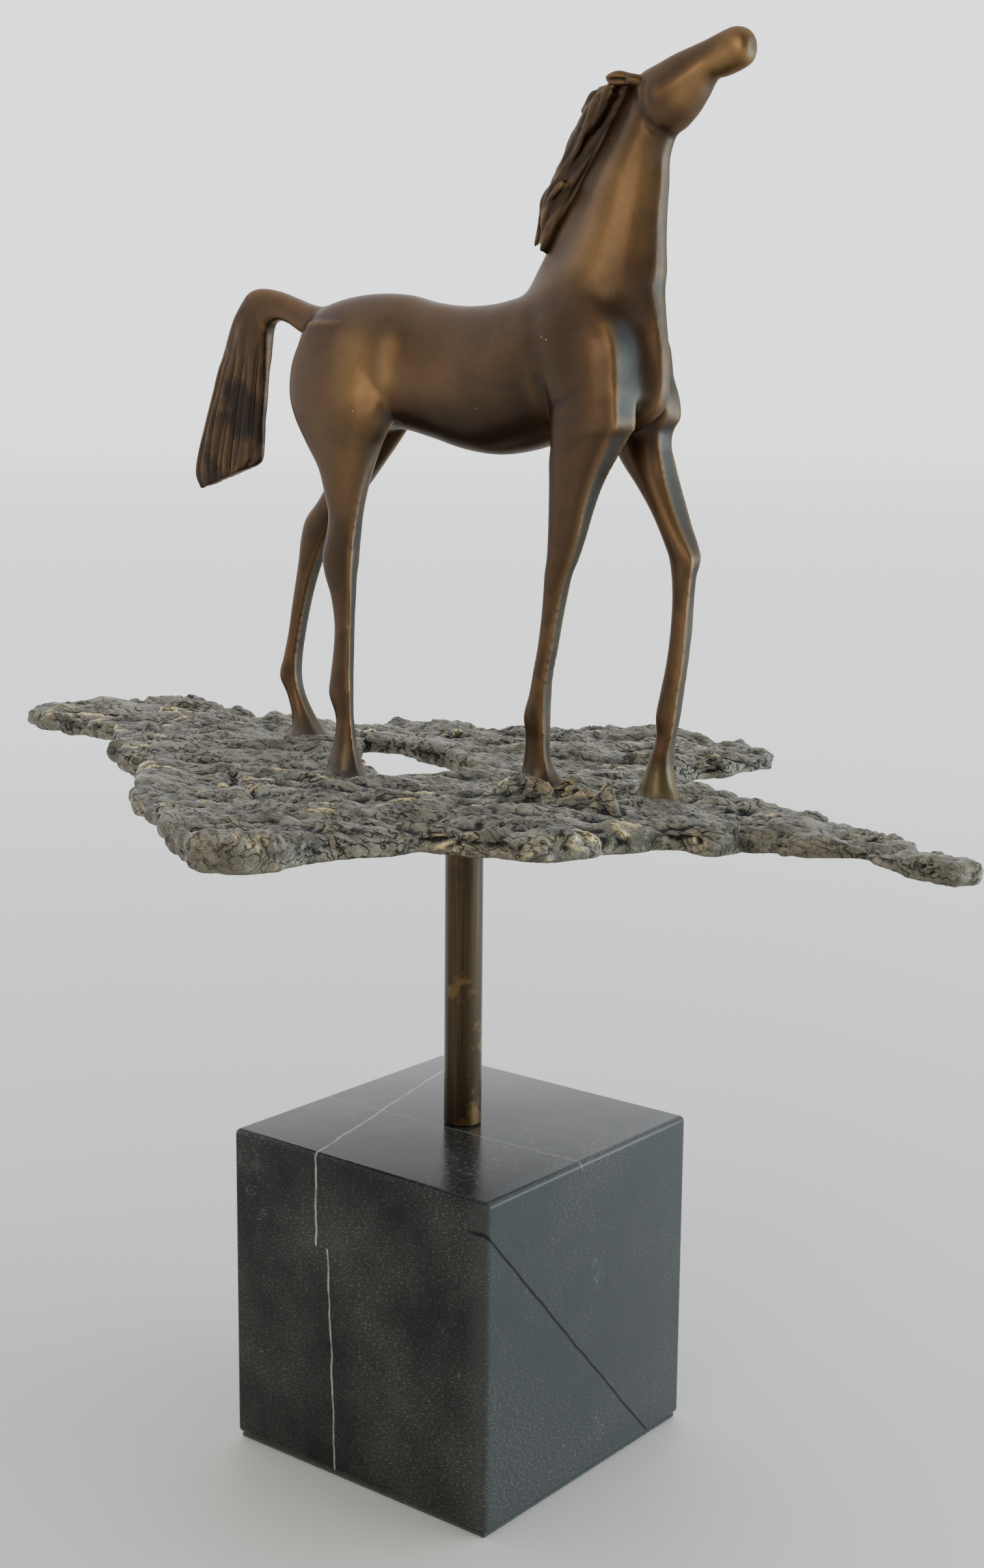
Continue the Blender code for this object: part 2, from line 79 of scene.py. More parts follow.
# Sections of the castings: two opposite points (x, z, x, z), half the width, y of the middle
TRUNK = [
    (-74, 406, -74, 389, 6, 0), (-71.5, 414, -71.5, 381, 12, 0), (-65, 419.5, -65, 375, 16.5, 0),
    (-55, 422.5, -54, 373.5, 19.2, 0), (-42, 424, -41, 375, 20, 0), (-28, 423.5, -28, 376, 19.5, 0),
    (-14, 420.5, -13, 373, 18.2, 0), (0, 419, 1, 369.5, 18, 0), (14, 419.5, 15, 368, 18.8, 0),
    (28, 422, 28, 369.5, 19.5, 0), (44, 424, 42, 373, 19.2, 0), (60, 420, 58, 376, 17.5, 0),
    (71, 414, 70, 380, 13, 0), (77, 404, 76, 387, 7, 0),
]
HEAD = [
    (70, 489, 73.5, 477, 4.5, 0), (74, 491.3, 79, 471.8, 7.4, 0), (79.5, 493.3, 85, 471.3, 8.2, 0),
    (85.5, 495.6, 91, 475.5, 7.5, 0), (91.5, 497.4, 95.5, 480.8, 6.2, 0), (97, 499, 99.3, 486.3, 5.1, 0),
    (102, 500.8, 103.8, 487.3, 4.8, 0), (107, 502, 108.6, 488.8, 5, 0), (111, 501, 112, 490.6, 4.2, 0),
    (113.2, 498.4, 113.4, 493, 2.4, 0),
]

# Chest and neck, from the keel up: z in front, z at the back, softness of the shoulder's edge, then
# the right half of the outline as x, y: keel, edge of the front plane, hollow beside it, shoulder's
# edge, side in front, side behind, ridge of the crest, nape
CHEST = [
    (375, 375, 1, (62, 0), (61, 2), (59, 4), (56, 7), (50, 8), (44, 7), (38, 4), (36, 0)),
    (378, 378, 1, (73, 0), (72, 2.2), (68, 5.5), (64, 10), (56, 12), (48, 11), (38, 7), (34, 0)),
    (381, 381, 1, (79, 0), (78, 2.5), (73, 6.2), (70, 14), (62, 17), (52, 16), (40, 9), (32, 0)),
    (385, 385, 0, (82.6, 0), (82, 2.6), (76.6, 6.3), (75.3, 16.6), (68, 20), (54, 20), (40, 12), (30, 0)),
    (391, 391, 0, (84, 0), (83.6, 2.6), (77.8, 6.2), (75.9, 17), (68, 20.8), (52, 20.8), (40, 14), (28, 0)),
    (398, 398, 0, (84, 0), (83.6, 2.6), (77.4, 6), (75.3, 17), (67, 20.8), (49, 20.8), (38, 15), (26, 0)),
    (405, 405, 0, (83.4, 0), (83, 2.7), (76.6, 6), (74.2, 16.8), (66, 20.3), (46, 20.2), (35, 14), (22, 0)),
    (411, 411, 0.2, (82.6, 0), (82, 3), (75.6, 6.5), (71.2, 16.6), (61, 19.5), (43, 18.6),
     (30, 11), (20, 0)),
    (417, 417, 0.7, (81.9, 0), (80.8, 3.5), (75.6, 8), (66, 16.4), (56, 18), (41, 15.6), (28, 8), (20, 0)),
    (423, 424, 1, (81.2, 0), (80.3, 3.6), (75.3, 9.3), (62.5, 15.4), (53, 16), (41, 12),
     (30.5, 5), (26.5, 0)),
    (429, 430, 1, (81.8, 0), (81, 3.3), (75, 9.6), (64, 14.4), (54, 14), (44, 9.6), (34, 4), (30, 0)),
    (436, 438, 1, (81.6, 0), (80.9, 2.9), (75.4, 9), (66, 13.2), (57, 12.4), (48, 7.6),
     (38.8, 3.6), (35, 0)),
    (445, 446, 1, (81.4, 0), (81, 2.7), (76, 8), (68, 11.8), (60, 11), (51.5, 6.8), (43.6, 3.5), (40.2, 0)),
    (455, 458, 1, (82, 0), (81.7, 2.4), (77, 7), (70, 10.2), (63, 9.4), (57, 6), (50.6, 3.3), (47.4, 0)),
    (464, 470, 1, (82.3, 0), (82, 2.1), (79, 6), (74, 8.8), (68.5, 8.2), (63, 5.4), (58.2, 3.2), (55.2, 0)),
    (471, 481, 1, (84.5, 0), (84.2, 1.9), (82, 5.2), (78, 7.5), (73, 7.3), (69, 5.2), (65, 3.2), (62.2, 0)),
    (478, 489, 1, (86, 0), (85.5, 1.8), (84, 4.6), (80, 6.4), (76, 6.2), (73, 5), (70, 3), (69, 0)),
]

# Legs, from the top down: z, x of the front's outer and inner edges, x of the back, half the width,
# y of the middle, share of the width that the front plane takes, softness of its edges
FORELEG_NEAR = [
    (408, 68, 69, 52, 5.5, -12, 0.5, 1), (398, 74.4, 76.2, 49.5, 7.4, -12.6, 0.6, 0.2),
    (391, 75.9, 78, 48, 8, -12.8, 0.62, 0), (385, 76.1, 78.3, 47.2, 8.2, -12.9, 0.6, 0),
    (379, 76.4, 78.2, 47, 8, -13.2, 0.57, 0), (375, 73.6, 76, 47, 7.8, -13.3, 0.55, 0),
    (368, 70, 71.4, 47.2, 7.4, -13.4, 0.55, 0), (360, 66.4, 66.6, 47.4, 6.8, -13.4, 0.57, 0.1),
    (351, 63.4, 63, 47.4, 6.2, -13.4, 0.6, 0.2), (343, 61.4, 60.4, 47.1, 5.6, -13.3, 0.62, 0.2),
    (335, 58.4, 57.4, 46.6, 5, -13.2, 0.64, 0.1), (329, 55.8, 54.6, 45.5, 4.5, -13, 0.66, 0.1),
    (322, 53.2, 52.8, 44.9, 4, -12.8, 0.7, 0), (314, 51.2, 51, 44, 3.6, -12.6, 0.74, 0),
    (304, 49, 49, 42.3, 3.3, -12.3, 0.76, 0), (296, 47.1, 46.9, 40.4, 3.3, -12, 0.76, 0),
    (288, 45.9, 45.8, 38.6, 3.6, -11.6, 0.72, 0), (280, 45.6, 45.3, 36.1, 3.9, -11.4, 0.68, 0),
    (273, 45.7, 45, 36.6, 3.7, -11, 0.68, 0), (266, 46.3, 44.9, 36.2, 4.2, -10.8, 0.6, 0),
    (261, 47.3, 47.4, 35, 5, -10.6, 0.52, 0.1), (257.5, 48.6, 50.4, 33, 6.6, -10.5, 0.45, 0.3),
    (254.5, 50, 52.5, 31.6, 8.2, -10.5, 0.4, 0.5), (251, 53.6, 56, 29, 10.6, -10.5, 0.4, 0.8),
]
FORELEG_FAR = [
    (408, 68, 69, 54, 5.5, 12, 0.5, 1), (398, 73.8, 75.2, 52, 7.2, 13, 0.6, 0.3),
    (391, 77, 77.4, 50, 8, 13.4, 0.6, 0.3), (385, 78.4, 78.2, 50, 8, 13.6, 0.6, 0.3),
    (381, 78.4, 77.4, 51, 8, 13.8, 0.58, 0.4), (377, 75.8, 75.2, 52, 7.8, 13.8, 0.58, 0.4),
    (372, 74.8, 75, 54.4, 7.6, 13.8, 0.58, 0.2), (366, 76.4, 76.2, 58.4, 7.4, 13.7, 0.6, 0),
    (359, 78.8, 78.2, 64.4, 7, 13.6, 0.62, 0), (351, 82, 81.2, 70.4, 6.4, 13.4, 0.64, 0),
    (344, 85, 84.6, 74.4, 5.8, 13.2, 0.66, 0), (337, 88.2, 88.6, 77.8, 5.3, 13, 0.66, 0),
    (334, 88.6, 89.4, 78.8, 5, 12.9, 0.66, 0), (329, 87.4, 88.8, 79.8, 4.5, 12.7, 0.68, 0),
    (322, 87, 88, 80.3, 4, 12.6, 0.72, 0), (314, 86.8, 87.2, 80.1, 3.7, 12.5, 0.74, 0),
    (305, 86.2, 86.6, 79.3, 3.5, 12.4, 0.74, 0), (297, 85.3, 85.8, 78.1, 3.5, 12.3, 0.74, 0),
    (289, 84.2, 84.5, 76.5, 3.8, 12.2, 0.7, 0), (281, 83.1, 83.6, 75, 4, 12.1, 0.66, 0),
    (275, 81.9, 82.6, 75.6, 3.7, 12, 0.66, 0.1), (269, 81.3, 81.4, 74.2, 4.2, 12.1, 0.6, 0.2),
    (263, 80.8, 81.4, 72, 5, 12.3, 0.5, 0.3), (257.5, 81.6, 83, 69.6, 6.4, 12.4, 0.42, 0.4),
    (254.5, 82.8, 84.6, 68.6, 7.3, 12.5, 0.4, 0.5), (251, 85, 87, 66.4, 9, 12.5, 0.4, 0.8),
]
HINDLEG_NEAR = [
    (414, -36, -36, -63.5, 4, -13, 0.5, 1), (401, -25.5, -27.5, -70.6, 7.4, -13.3, 0.5, 1),
    (389, -20.5, -22.5, -71.6, 9.6, -13.8, 0.5, 1), (380, -21, -24, -68.2, 10.2, -14.4, 0.5, 1),
    (371, -24.6, -29, -62, 9.6, -15, 0.5, 1), (362, -28, -32.6, -55, 8.4, -16, 0.52, 0.8),
    (354, -31, -35, -51.6, 7.2, -16.8, 0.58, 0.5), (346, -33, -36.4, -49, 6, -17.5, 0.64, 0.3),
    (338, -34.6, -36.9, -49.6, 5.4, -18.1, 0.68, 0.15), (331, -35.2, -37.2, -51.4, 5.1, -18.5, 0.7, 0.1),
    (324, -35.4, -38, -50.2, 4.7, -18.8, 0.72, 0), (316, -35.6, -38, -46.9, 4.1, -19.1, 0.74, 0),
    (306, -35.7, -38.2, -44.9, 3.7, -19.5, 0.76, 0), (297, -35.7, -38, -45.1, 3.7, -19.9, 0.76, 0),
    (288, -35.5, -38, -46.1, 3.9, -20.3, 0.72, 0), (281, -35, -37.8, -46.7, 4.1, -20.6, 0.68, 0),
    (274, -34.8, -37.4, -43.6, 3.7, -20.8, 0.68, 0), (269, -34.2, -36.8, -42.8, 4, -20.9, 0.62, 0),
    (263, -32.9, -36, -43.9, 4.8, -21, 0.54, 0.1), (257, -31, -34, -45.8, 6.4, -21, 0.46, 0.3),
    (254, -29.8, -32.4, -46.8, 7.2, -21, 0.4, 0.5), (250.5, -27.4, -30, -49.4, 9.4, -21, 0.4, 0.8),
]
HINDLEG_FAR = [
    (414, -36, -36, -60, 3.5, 13, 0.5, 1), (401, -28.5, -28.5, -71.5, 7.4, 13.3, 0.5, 1),
    (389, -29.5, -30, -73, 9.2, 13.8, 0.5, 1), (380, -38, -36, -73, 10, 14.3, 0.5, 1),
    (371, -46.6, -44, -73.5, 9.6, 14.8, 0.5, 1), (363, -54.4, -52, -76, 8.8, 15.4, 0.5, 1),
    (355, -62.4, -61, -80, 7.6, 15.8, 0.55, 0.7), (348, -69.6, -68.4, -85.4, 6.4, 16, 0.6, 0.4),
    (341, -76.6, -75.4, -92.2, 5.5, 16, 0.66, 0.2), (333, -82.6, -81.6, -95, 4.8, 16, 0.7, 0.1),
    (325, -86.8, -86, -96.2, 4.3, 16, 0.72, 0.1), (315, -90.6, -90.2, -98.3, 3.8, 16, 0.74, 0.1),
    (306, -93.4, -93, -100.2, 3.6, 16, 0.74, 0), (296, -96, -95.4, -102, 3.7, 16, 0.72, 0),
    (287, -97.8, -97, -104.4, 4, 16, 0.68, 0), (279, -98.2, -97.2, -106.8, 4.2, 16, 0.64, 0),
    (272, -96.2, -95.4, -103, 3.8, 16, 0.64, 0), (265, -92, -91.4, -100.4, 4.5, 16, 0.56, 0.1),
    (260, -88, -87.4, -99.8, 5.9, 16, 0.48, 0.3), (257.5, -85.6, -85, -101, 7.4, 16, 0.4, 0.5),
    (253.5, -82, -81, -105, 10.2, 16, 0.4, 0.8),
]
TAIL = [
    (-60, 421, -66, 404, 7.5, 0), (-68, 420, -73, 408, 6, 0), (-75, 421, -79, 411, 5, 0),
    (-82, 423.2, -84.5, 413.8, 4.5, 0), (-91, 426, -90, 415.2, 4.4, 0), (-99, 427.2, -94.4, 414, 4.4, 0),
    (-104.6, 426.2, -96, 410.6, 4.4, 0), (-109, 422.6, -96.6, 406, 4.5, 0),
    (-113.6, 416, -97.2, 401, 4.5, 0), (-118, 407, -98, 394.4, 4.3, 0), (-123, 396, -99, 386, 4.2, 0),
    (-128, 384, -100, 377, 4.2, 0), (-133, 371, -100.4, 369, 4, 0), (-136.2, 358, -101.4, 363.4, 3.4, 0),
    (-134.4, 351.4, -104, 361.2, 2.2, 0),
]
TAIL_ROWS_IN_SKIN = 10
TAIL_JOINT = (-100.5, 0, 418)
TAIL_JOINT_NORMAL = (-0.854, 0, -0.52)

# How round each limb's section is: squareness, plane on its front, how much its back narrows
TRUNK_STYLE = (2.15, 1, 0)
HEAD_STYLE = (2.3, 1, 0)
TAIL_STYLE = (2.9, 1, 0)
EAR_STYLE = (2, 1, 0)

# Joints that the chaser's tools rounded: centre, radius
BLEND_BALLS = [
    ((40, 0, 424), 24), ((62, -10, 430), 20), ((62, 10, 430), 20), ((76, 0, 392), 12), ((62, 0, 372), 14),
    ((-40, -14, 398), 30), ((-40, 14, 398), 30), ((-45, 0, 372), 26), ((-72, 0, 412), 14),
    ((-26, 10, 376), 12), ((80, 0, 474), 11), ((44, -16, 402), 12), ((44, 16, 402), 12),
    ((-20, -18, 396), 20), ((-20, 18, 396), 20), ((106.5, 0, 489.5), 7),
]
# Edges worn softer than the rest: centre, radius
SOFT_BALLS = [((74, -14, 402), 22), ((74, 14, 402), 22), ((60, -16, 424), 16), ((60, 16, 424), 16)]
# Ridges and hollows chased into the skin: height, width, points along it
SKIN_STROKES = [
    (0.5, 4.2, [(-20, -19, 410), (-21, -20.5, 397), (-22.5, -20.5, 386), (-24.5, -19, 376)]),
    (-0.35, 4.6, [(-27, -21, 404), (-28, -22, 396), (-29, -22, 388)]),
    (-0.6, 2.6, [(44.6, -18.6, 393), (46.2, -18.8, 387), (47, -18, 379), (47.4, -16, 371)]),
    (-0.6, 2.6, [(48, 18.6, 392), (50, 18, 382), (52, 16, 374)]),
    (-0.8, 2.2, [(78.5, -5.4, 385), (76, -6.4, 382), (72, -7, 379)]),
    (-0.22, 1.2, [(77.2, -6.6, 487), (77, -7.6, 481), (78.6, -7.6, 475)]),
    (-0.7, 1.3, [(79.6, -7, 474), (81.6, -6.6, 471.8), (85, -4.8, 470.4)]),
    (0.6, 2.6, [(84, -7.5, 483), (90, -6.5, 486), (97, -5, 490), (104, -4.8, 493)]),
]
# The last three, on the head, repeat on its other side
SKIN_STROKES += [(height, width, [(x, -y, z) for x, y, z in path])
                 for height, width, path in SKIN_STROKES[-3:]]
# Places rubbed golden, partly by handling and partly as a painted highlight: strength, radius, points along
# them
RUBBED_AND_HIGHLIGHT = [
    (0.95, 4, [(91, -6, 482), (98, -5, 488), (105, -5, 493)]), (0.9, 2.2, [(109, -4, 497), (112, -3, 494)]),
    (0.7, 9, [(62, -13, 432), (66, -12, 444), (70, -10, 456)]),
    (0.85, 9, [(-36, -21, 402), (-33, -22, 390)]),
    (0.4, 5, [(77.5, -7, 436), (78, -6, 450), (79.5, -5, 464)]),
    (0.7, 3.4, [(-21, -20, 406), (-21.5, -20.5, 394)]), (0.2, 12, [(-44, -20, 384), (-40, -22, 366)]),
    (0.3, 5, [(-36, -22, 366), (-38, -21, 348)]),
    (0.45, 1.6, [(-33, -23, 336), (-35, -23, 300), (-35, -23, 262)]),
    (0.7, 1.6, [(71, -17, 411), (75, -17, 403), (76, -18, 392), (76.5, -18, 381)]),
    (0.45, 1.6, [(59, -16, 337), (50, -15, 306), (46, -14, 280), (46, -14, 262)]),
    (0.5, 2, [(76, 9, 366), (82, 9, 348), (90, 9, 334)]),
    (0.5, 2, [(89, 9, 326), (85, 9, 296), (82, 9, 268)]), (0.6, 3, [(82, 9, 262), (84, 6, 256)]),
    (0.35, 14, [(-14, -18, 392), (24, -19, 390)]),
]

# Painted shade under the belly and in the creases behind the shoulder and thigh: strength, radius, points
# along them
PAINTED_SHADE = [
    (0.85, 11, [(-8, -20, 380), (14, -20, 379), (36, -20, 383)]), (0.6, 9, [(14, -21, 392), (34, -20, 394)]),
    (0.7, 8, [(30, -14, 378), (10, -12, 372), (-12, -12, 374)]),
    (0.5, 10, [(-62, -16, 392), (-58, -16, 376)]),
    (0.5, 8, [(54, -20, 408), (56, -20, 392), (56, -20, 372)]),
]

EAR = [
    (77.4, 488.4, 77.2, 486, 1.4, 3.4), (75, 489.5, 74.6, 485.6, 2.2, 4.8),
    (71, 490.4, 70.4, 486.3, 2.6, 5.8), (67.6, 491.3, 67, 486.4, 3, 6.4), (64.8, 491, 64.2, 486.9, 2.3, 6.6),
    (62.7, 490.2, 62.6, 488.4, 1.2, 6.6),
]
EAR_FOLD = (-1.3, 1.2, [(63.4, 5.3, 488.8), (66, 4.6, 488.2), (70, 4.2, 487.9)])

# Nape from the poll to the withers, along which the mane grows: x, z
NAPE = [
    (70, 490), (65.5, 484), (60.4, 477.5), (55, 470), (49.6, 461), (44.6, 453), (39.6, 445), (35, 437),
    (30, 430),
]
# Locks: where on the nape they start and how much of it they span, side at root and tip, lift, girth
LOCKS = [
    (0.05, 0.30, -4.6, -4.8, 6.6, 3.4), (0.10, 0.34, -4.8, -3.8, 5, 3), (0.04, 0.26, 0, 0.5, 13.5, 3.8),
    (0.05, 0.40, -2, -1, 10.5, 3.2), (0.06, 0.44, 2.5, 4, 13, 3.6), (0.06, 0.46, -4.2, -3.2, 6, 2.4),
    (0.12, 0.42, -3.4, -2.4, 8.8, 2.7), (0.16, 0.50, 0.4, 1.8, 12, 3.4), (0.22, 0.44, -2.6, -1.2, 9.4, 2.8),
    (0.24, 0.42, 2.6, 3.6, 13.5, 3.6), (0.28, 0.42, -4.4, -3.2, 6.2, 2.3), (0.36, 0.44, 0, 1.2, 10.8, 3),
    (0.40, 0.42, -3.2, -1.8, 8, 2.5), (0.44, 0.46, 2.4, 3.6, 11.4, 3.2), (0.50, 0.42, -1.4, 0.4, 9.4, 2.8),
    (0.56, 0.32, -3.8, -2.4, 5.6, 2.1), (0.60, 0.32, 1.4, 2.6, 9.4, 2.8), (0.12, 0.54, 5.2, 6.6, 8.6, 3.2),
    (0.36, 0.50, 5, 6, 8.6, 3),
]

# Furrows of the tail: share of its width, depth, half of its width, share of the length where it starts
TAIL_FURROWS = [
    (0.10, 0.8, 0.03, 0.62), (0.24, 0.8, 0.025, 0.66), (0.36, 1.2, 0.035, 0.58), (0.47, 0.9, 0.025, 0.64),
    (0.56, 1.5, 0.045, 0.55), (0.67, 0.9, 0.03, 0.56), (0.88, 1.1, 0.04, 0.42),
]

SLAB_OUTLINE = [
    (-256, 12), (-236, 0), (-206, -3), (-186, -2), (-166, -20), (-150, -36), (-130, -46), (-104, -60),
    (-92, -72), (-74, -92), (-47, -110), (-26, -123), (-5, -139), (14, -150), (31, -146), (37, -134),
    (36, -118), (45, -102), (54, -88), (72, -77), (90, -70), (99, -54), (109, -36), (124, -28), (126, -14),
    (146, -12), (168, -10), (190, -18), (205, -22), (209, -12), (196, -4), (178, 6), (158, 17), (124, 25),
    (98, 31), (78, 37), (64, 46), (52, 58), (49, 74), (56, 86), (59, 98), (60, 112), (48, 127), (33, 134),
    (12, 138), (-10, 134), (-27, 120), (-46, 108), (-64, 95), (-88, 95), (-110, 87), (-112, 71), (-123, 64),
    (-150, 48), (-174, 58), (-206, 76), (-230, 79), (-240, 54), (-253, 36),
]
SLAB_HOLE = [
    (-42, -6), (-25, -13), (-17, 3), (-11, 22), (-26, 33), (-50, 41), (-73, 47), (-82, 38), (-62, 12),
]
SLAB_TOP = 253
SLAB_THICKNESS = 8
# Swells of the slab's faces: x, y, radius, height
UPPER_SWELLS = [
    (-92, 16, 24, 3.6), (41, -10, 15, 5), (78, 12, 18, 1), (-39, -21, 14, -1), (-150, 30, 45, 2),
    (10, -130, 30, 1.5), (170, 2, 35, -2), (10, 110, 40, 2), (-60, -70, 22, -1.8), (60, -50, 20, 1.4),
]
LOWER_SWELLS = [
    (8, -138, 32, -0.5), (-150, 20, 50, 1.5), (190, -12, 45, 2.5), (55, 110, 40, 2.5), (-90, 60, 40, 1.5),
    (80, -60, 20, -0.5), (196, -16, 20, -2.6), (130, -14, 24, -1.5),
]
HOOVES = [(-38.5, -21), (-92, 16), (43, -10.5), (77, 12.5)]
# Knot of spilt metal beside a hoof: centre, radius
KNOT_BALLS = [((54, -20, 256), 15), ((72, -22, 256), 14)]

# The bark's grain runs this way across the slab
GRAIN = (0.78, 0.62)
# Pits, knots and cracks of the bark: depth (raised above 0), width, points along it
BARK_STROKES = [
    (-4.5, 4, [(1, -135), (8, -138), (13, -139)]), (-4.5, 3.6, [(14, -135), (24, -133)]),
    (-4, 3.4, [(-92, -5), (-84, -3), (-77, 0)]), (-4.5, 4, [(-31, -33), (-22, -31)]),
    (-4, 4.2, [(-92, 69), (-84, 70.6)]), (-3, 3, [(0, 97), (4, 99)]),
    (-2.8, 2, [(-72, -46), (-55, -62), (-45, -65), (-37, -71), (-28, -78), (-12, -86), (-4, -96)]),
    (-2.6, 9, [(22, -88), (30, -80), (38, -76)]), (-2.2, 2.4, [(16, -86), (28, -91), (42, -90)]),
    (2.6, 5, [(3, -143), (14, -146), (27, -143), (33, -134)]), (1.6, 8, [(-10, -98), (0, -101)]),
    (4.8, 4.4, [(41, -24), (48, -26), (58, -25)]), (5, 4, [(64, -20), (72, -25), (80, -24)]),
    (-7, 2.8, [(48, -17), (55, -20)]), (-6, 2.4, [(60, -23), (66, -20)]),
    (5, 1.7, [(54, -11), (61, -14), (68, -18), (76, -22), (84, -25)]),
    (4.4, 1.6, [(42, -20), (50, -25), (56, -24), (59, -16)]), (-4, 1.6, [(63, -17), (72, -21)]),
    (1.8, 3.4, [(92, -52), (100, -44), (106, -36)]), (1.6, 3, [(72, -74), (84, -68), (92, -62)]),
    (-2.4, 2.6, [(124, -20), (128, -14), (140, -11)]), (2, 5, [(156, -12), (163, -10)]),
    (-2.4, 2.4, [(172, -10), (178, -4), (186, -2)]), (1.6, 4, [(-46, 36), (-28, 30), (-14, 20)]),
    (-2.2, 2.2, [(14, 2), (30, -6), (36, -22)]), (-2, 2.4, [(-150, 26), (-136, 30), (-120, 26)]),
    (-2.2, 2.2, [(-190, 40), (-174, 44), (-160, 40)]), (-2, 2.4, [(20, 60), (34, 70), (44, 84)]),
]

BLOCK_ROUNDING = 2.2
ROD_BORE_RADIUS = 4.5
RECESS_RADIUS = 15
RECESS_DEPTH = 14
PAST_FACE = 9
ABOVE_BLOCK = 150
CORE = 0.01
POST_RADIUS = 7
POST_FROM = 122.1
POST_TO = 239.4
POST_BORE_RADIUS = 5
POST_EDGE = 0.4
FLOOR_REACH = 40


def clear_default_scene():
    for name in ("Cube", "Light", "Camera"):
        item = bpy.data.objects.get(name)
        if item is not None:
            bpy.data.objects.remove(item, do_unlink=True)


def to_object(bm, name, smooth=True):
    """Makes a finished bmesh into an object in the scene."""
    mesh = bpy.data.meshes.new(name)
    bm.to_mesh(mesh)
    bm.free()
    if smooth:
        mesh.shade_smooth()
    item = bpy.data.objects.new(name, mesh)
    bpy.context.collection.objects.link(item)
    return item


# ---------------------------------------------------------------- lofts

def spread_rows(rows, between=ROWS_BETWEEN):
    """Catmull-Rom rows between the given ones, so that a limb's outline is a smooth curve."""
    keys = np.array(rows, dtype=float)
    padded = np.vstack([2 * keys[0] - keys[1], keys, 2 * keys[-1] - keys[-2]])
    made = []
    for index in range(1, len(padded) - 2):
        before, start, end, after = padded[index - 1:index + 3]
        for step in range(between):
            t = step / between
            made.append(0.5 * (2 * start + (end - before) * t
                               + (2 * before - 5 * start + 4 * end - after) * t ** 2
                               + (3 * start - before - 3 * end + after) * t ** 3))
    made.append(keys[-1])
    return np.array(made)


def section(row, style, sides=RING_SIDES):
    power, flat, pinch = style
    first_x, first_z, second_x, second_z, half_width, side = row
    middle = np.array([(first_x + second_x) / 2, side, (first_z + second_z) / 2])
    reach = np.array([first_x, side, first_z]) - middle
    angle = 2 * np.pi * (np.arange(sides) + 0.5) / sides
    cosine, sine = np.cos(angle), np.sin(angle)
    along = np.sign(cosine) * np.abs(cosine) ** (2 / power)
    across = np.sign(sine) * np.abs(sine) ** (2 / power) * (1 + pinch * cosine)
    along = np.minimum(along, flat) / flat
    return middle + along[:, None] * reach + across[:, None] * np.array([0, half_width, 0])


def close_rings(rings):
    count, sides = rings.shape[:2]
    faces = []
    for level in range(count - 1):
        for step in range(sides):
            after = (step + 1) % sides
            faces.append((level * sides + step, level * sides + after,
                          (level + 1) * sides + after, (level + 1) * sides + step))
    faces.append(tuple(range(sides))[::-1])
    faces.append(tuple((count - 1) * sides + step for step in range(sides)))
    return rings.reshape(-1, 3), faces


def loft_arrays(rows, style, sides=RING_SIDES):
    return close_rings(np.array([section(row, style, sides) for row in spread_rows(rows)]))


def cut_corners(points, rounds=3):
    """Chaikin's corner cutting of a closed outline; a point given twice stays a crisp edge."""
    for _ in range(rounds):
        after = np.roll(points, -1, axis=-2)
        pair = np.stack([0.75 * points + 0.25 * after, 0.25 * points + 0.75 * after], axis=-2)
        points = pair.reshape(*points.shape[:-2], -1, points.shape[-1])
    return points


def leg_belt(row):
    z, outer_x, inner_x, back_x, half, side, share, soft = row
    sign = math.copysign(1, side)

    def flank(corner_x, across):
        """Front edge, two points of the side and the back edge, on one side of the leg."""
        depth = corner_x - back_x
        return [np.array(point) for point in (
            (corner_x, side + across * share * half), (corner_x - 0.3 * depth, side + across * half),
            (corner_x - 0.66 * depth, side + across * 0.96 * half), (back_x, side + across * 0.4 * half))]

    outer, outer_one, outer_two, outer_back = flank(outer_x, sign)
    inner, inner_one, inner_two, inner_back = flank(inner_x, -sign)
    belt = np.array([
        outer + soft * 0.4 * (inner - outer), outer + soft * 0.4 * (outer_one - outer),
        outer_one, outer_two, outer_back, inner_back, inner_two, inner_one,
        inner + soft * 0.4 * (inner_one - inner), inner + soft * 0.4 * (outer - inner),
    ])
    return np.column_stack([belt, np.full(len(belt), z)])


def leg_arrays(rows):
    belts = [leg_belt(row) for row in spread_rows(rows)]
    return close_rings(cut_corners(np.array(belts)))


def chest_belt(front_z, back_z, soft, outline):
    keel, plane, hollow, shoulder, side_one, side_two, crest, nape = outline
    half = [plane, plane, hollow,
            shoulder + soft * 0.3 * (hollow - shoulder), shoulder + soft * 0.3 * (side_one - shoulder),
            side_one, side_two, crest]
    mirror = np.array([1, -1])
    belt = np.array([keel] + [point * mirror for point in half] + [nape] + half[::-1])
    lean = (keel[0] - belt[:, 0]) / (keel[0] - nape[0])
    return np.column_stack([belt, front_z + (back_z - front_z) * lean])


def chest_arrays():
    flat = [list(row[:3]) + [value for point in row[3:] for value in point] for row in CHEST]
    belts = [chest_belt(*row[:3], row[3:].reshape(-1, 2)) for row in spread_rows(flat)]
    return close_rings(cut_corners(np.array(belts)))


def outward(bm):
    """Turns every shell's faces outwards, whichever way its rows ran."""
    bmesh.ops.recalc_face_normals(bm, faces=bm.faces)
    return bm


def solids_to_object(name, solids):
    bm = bmesh.new()
    for points, faces in solids:
        verts = [bm.verts.new(point * MM) for point in points]
        for face in faces:
            bm.faces.new([verts[index] for index in face])
    return to_object(outward(bm), name)


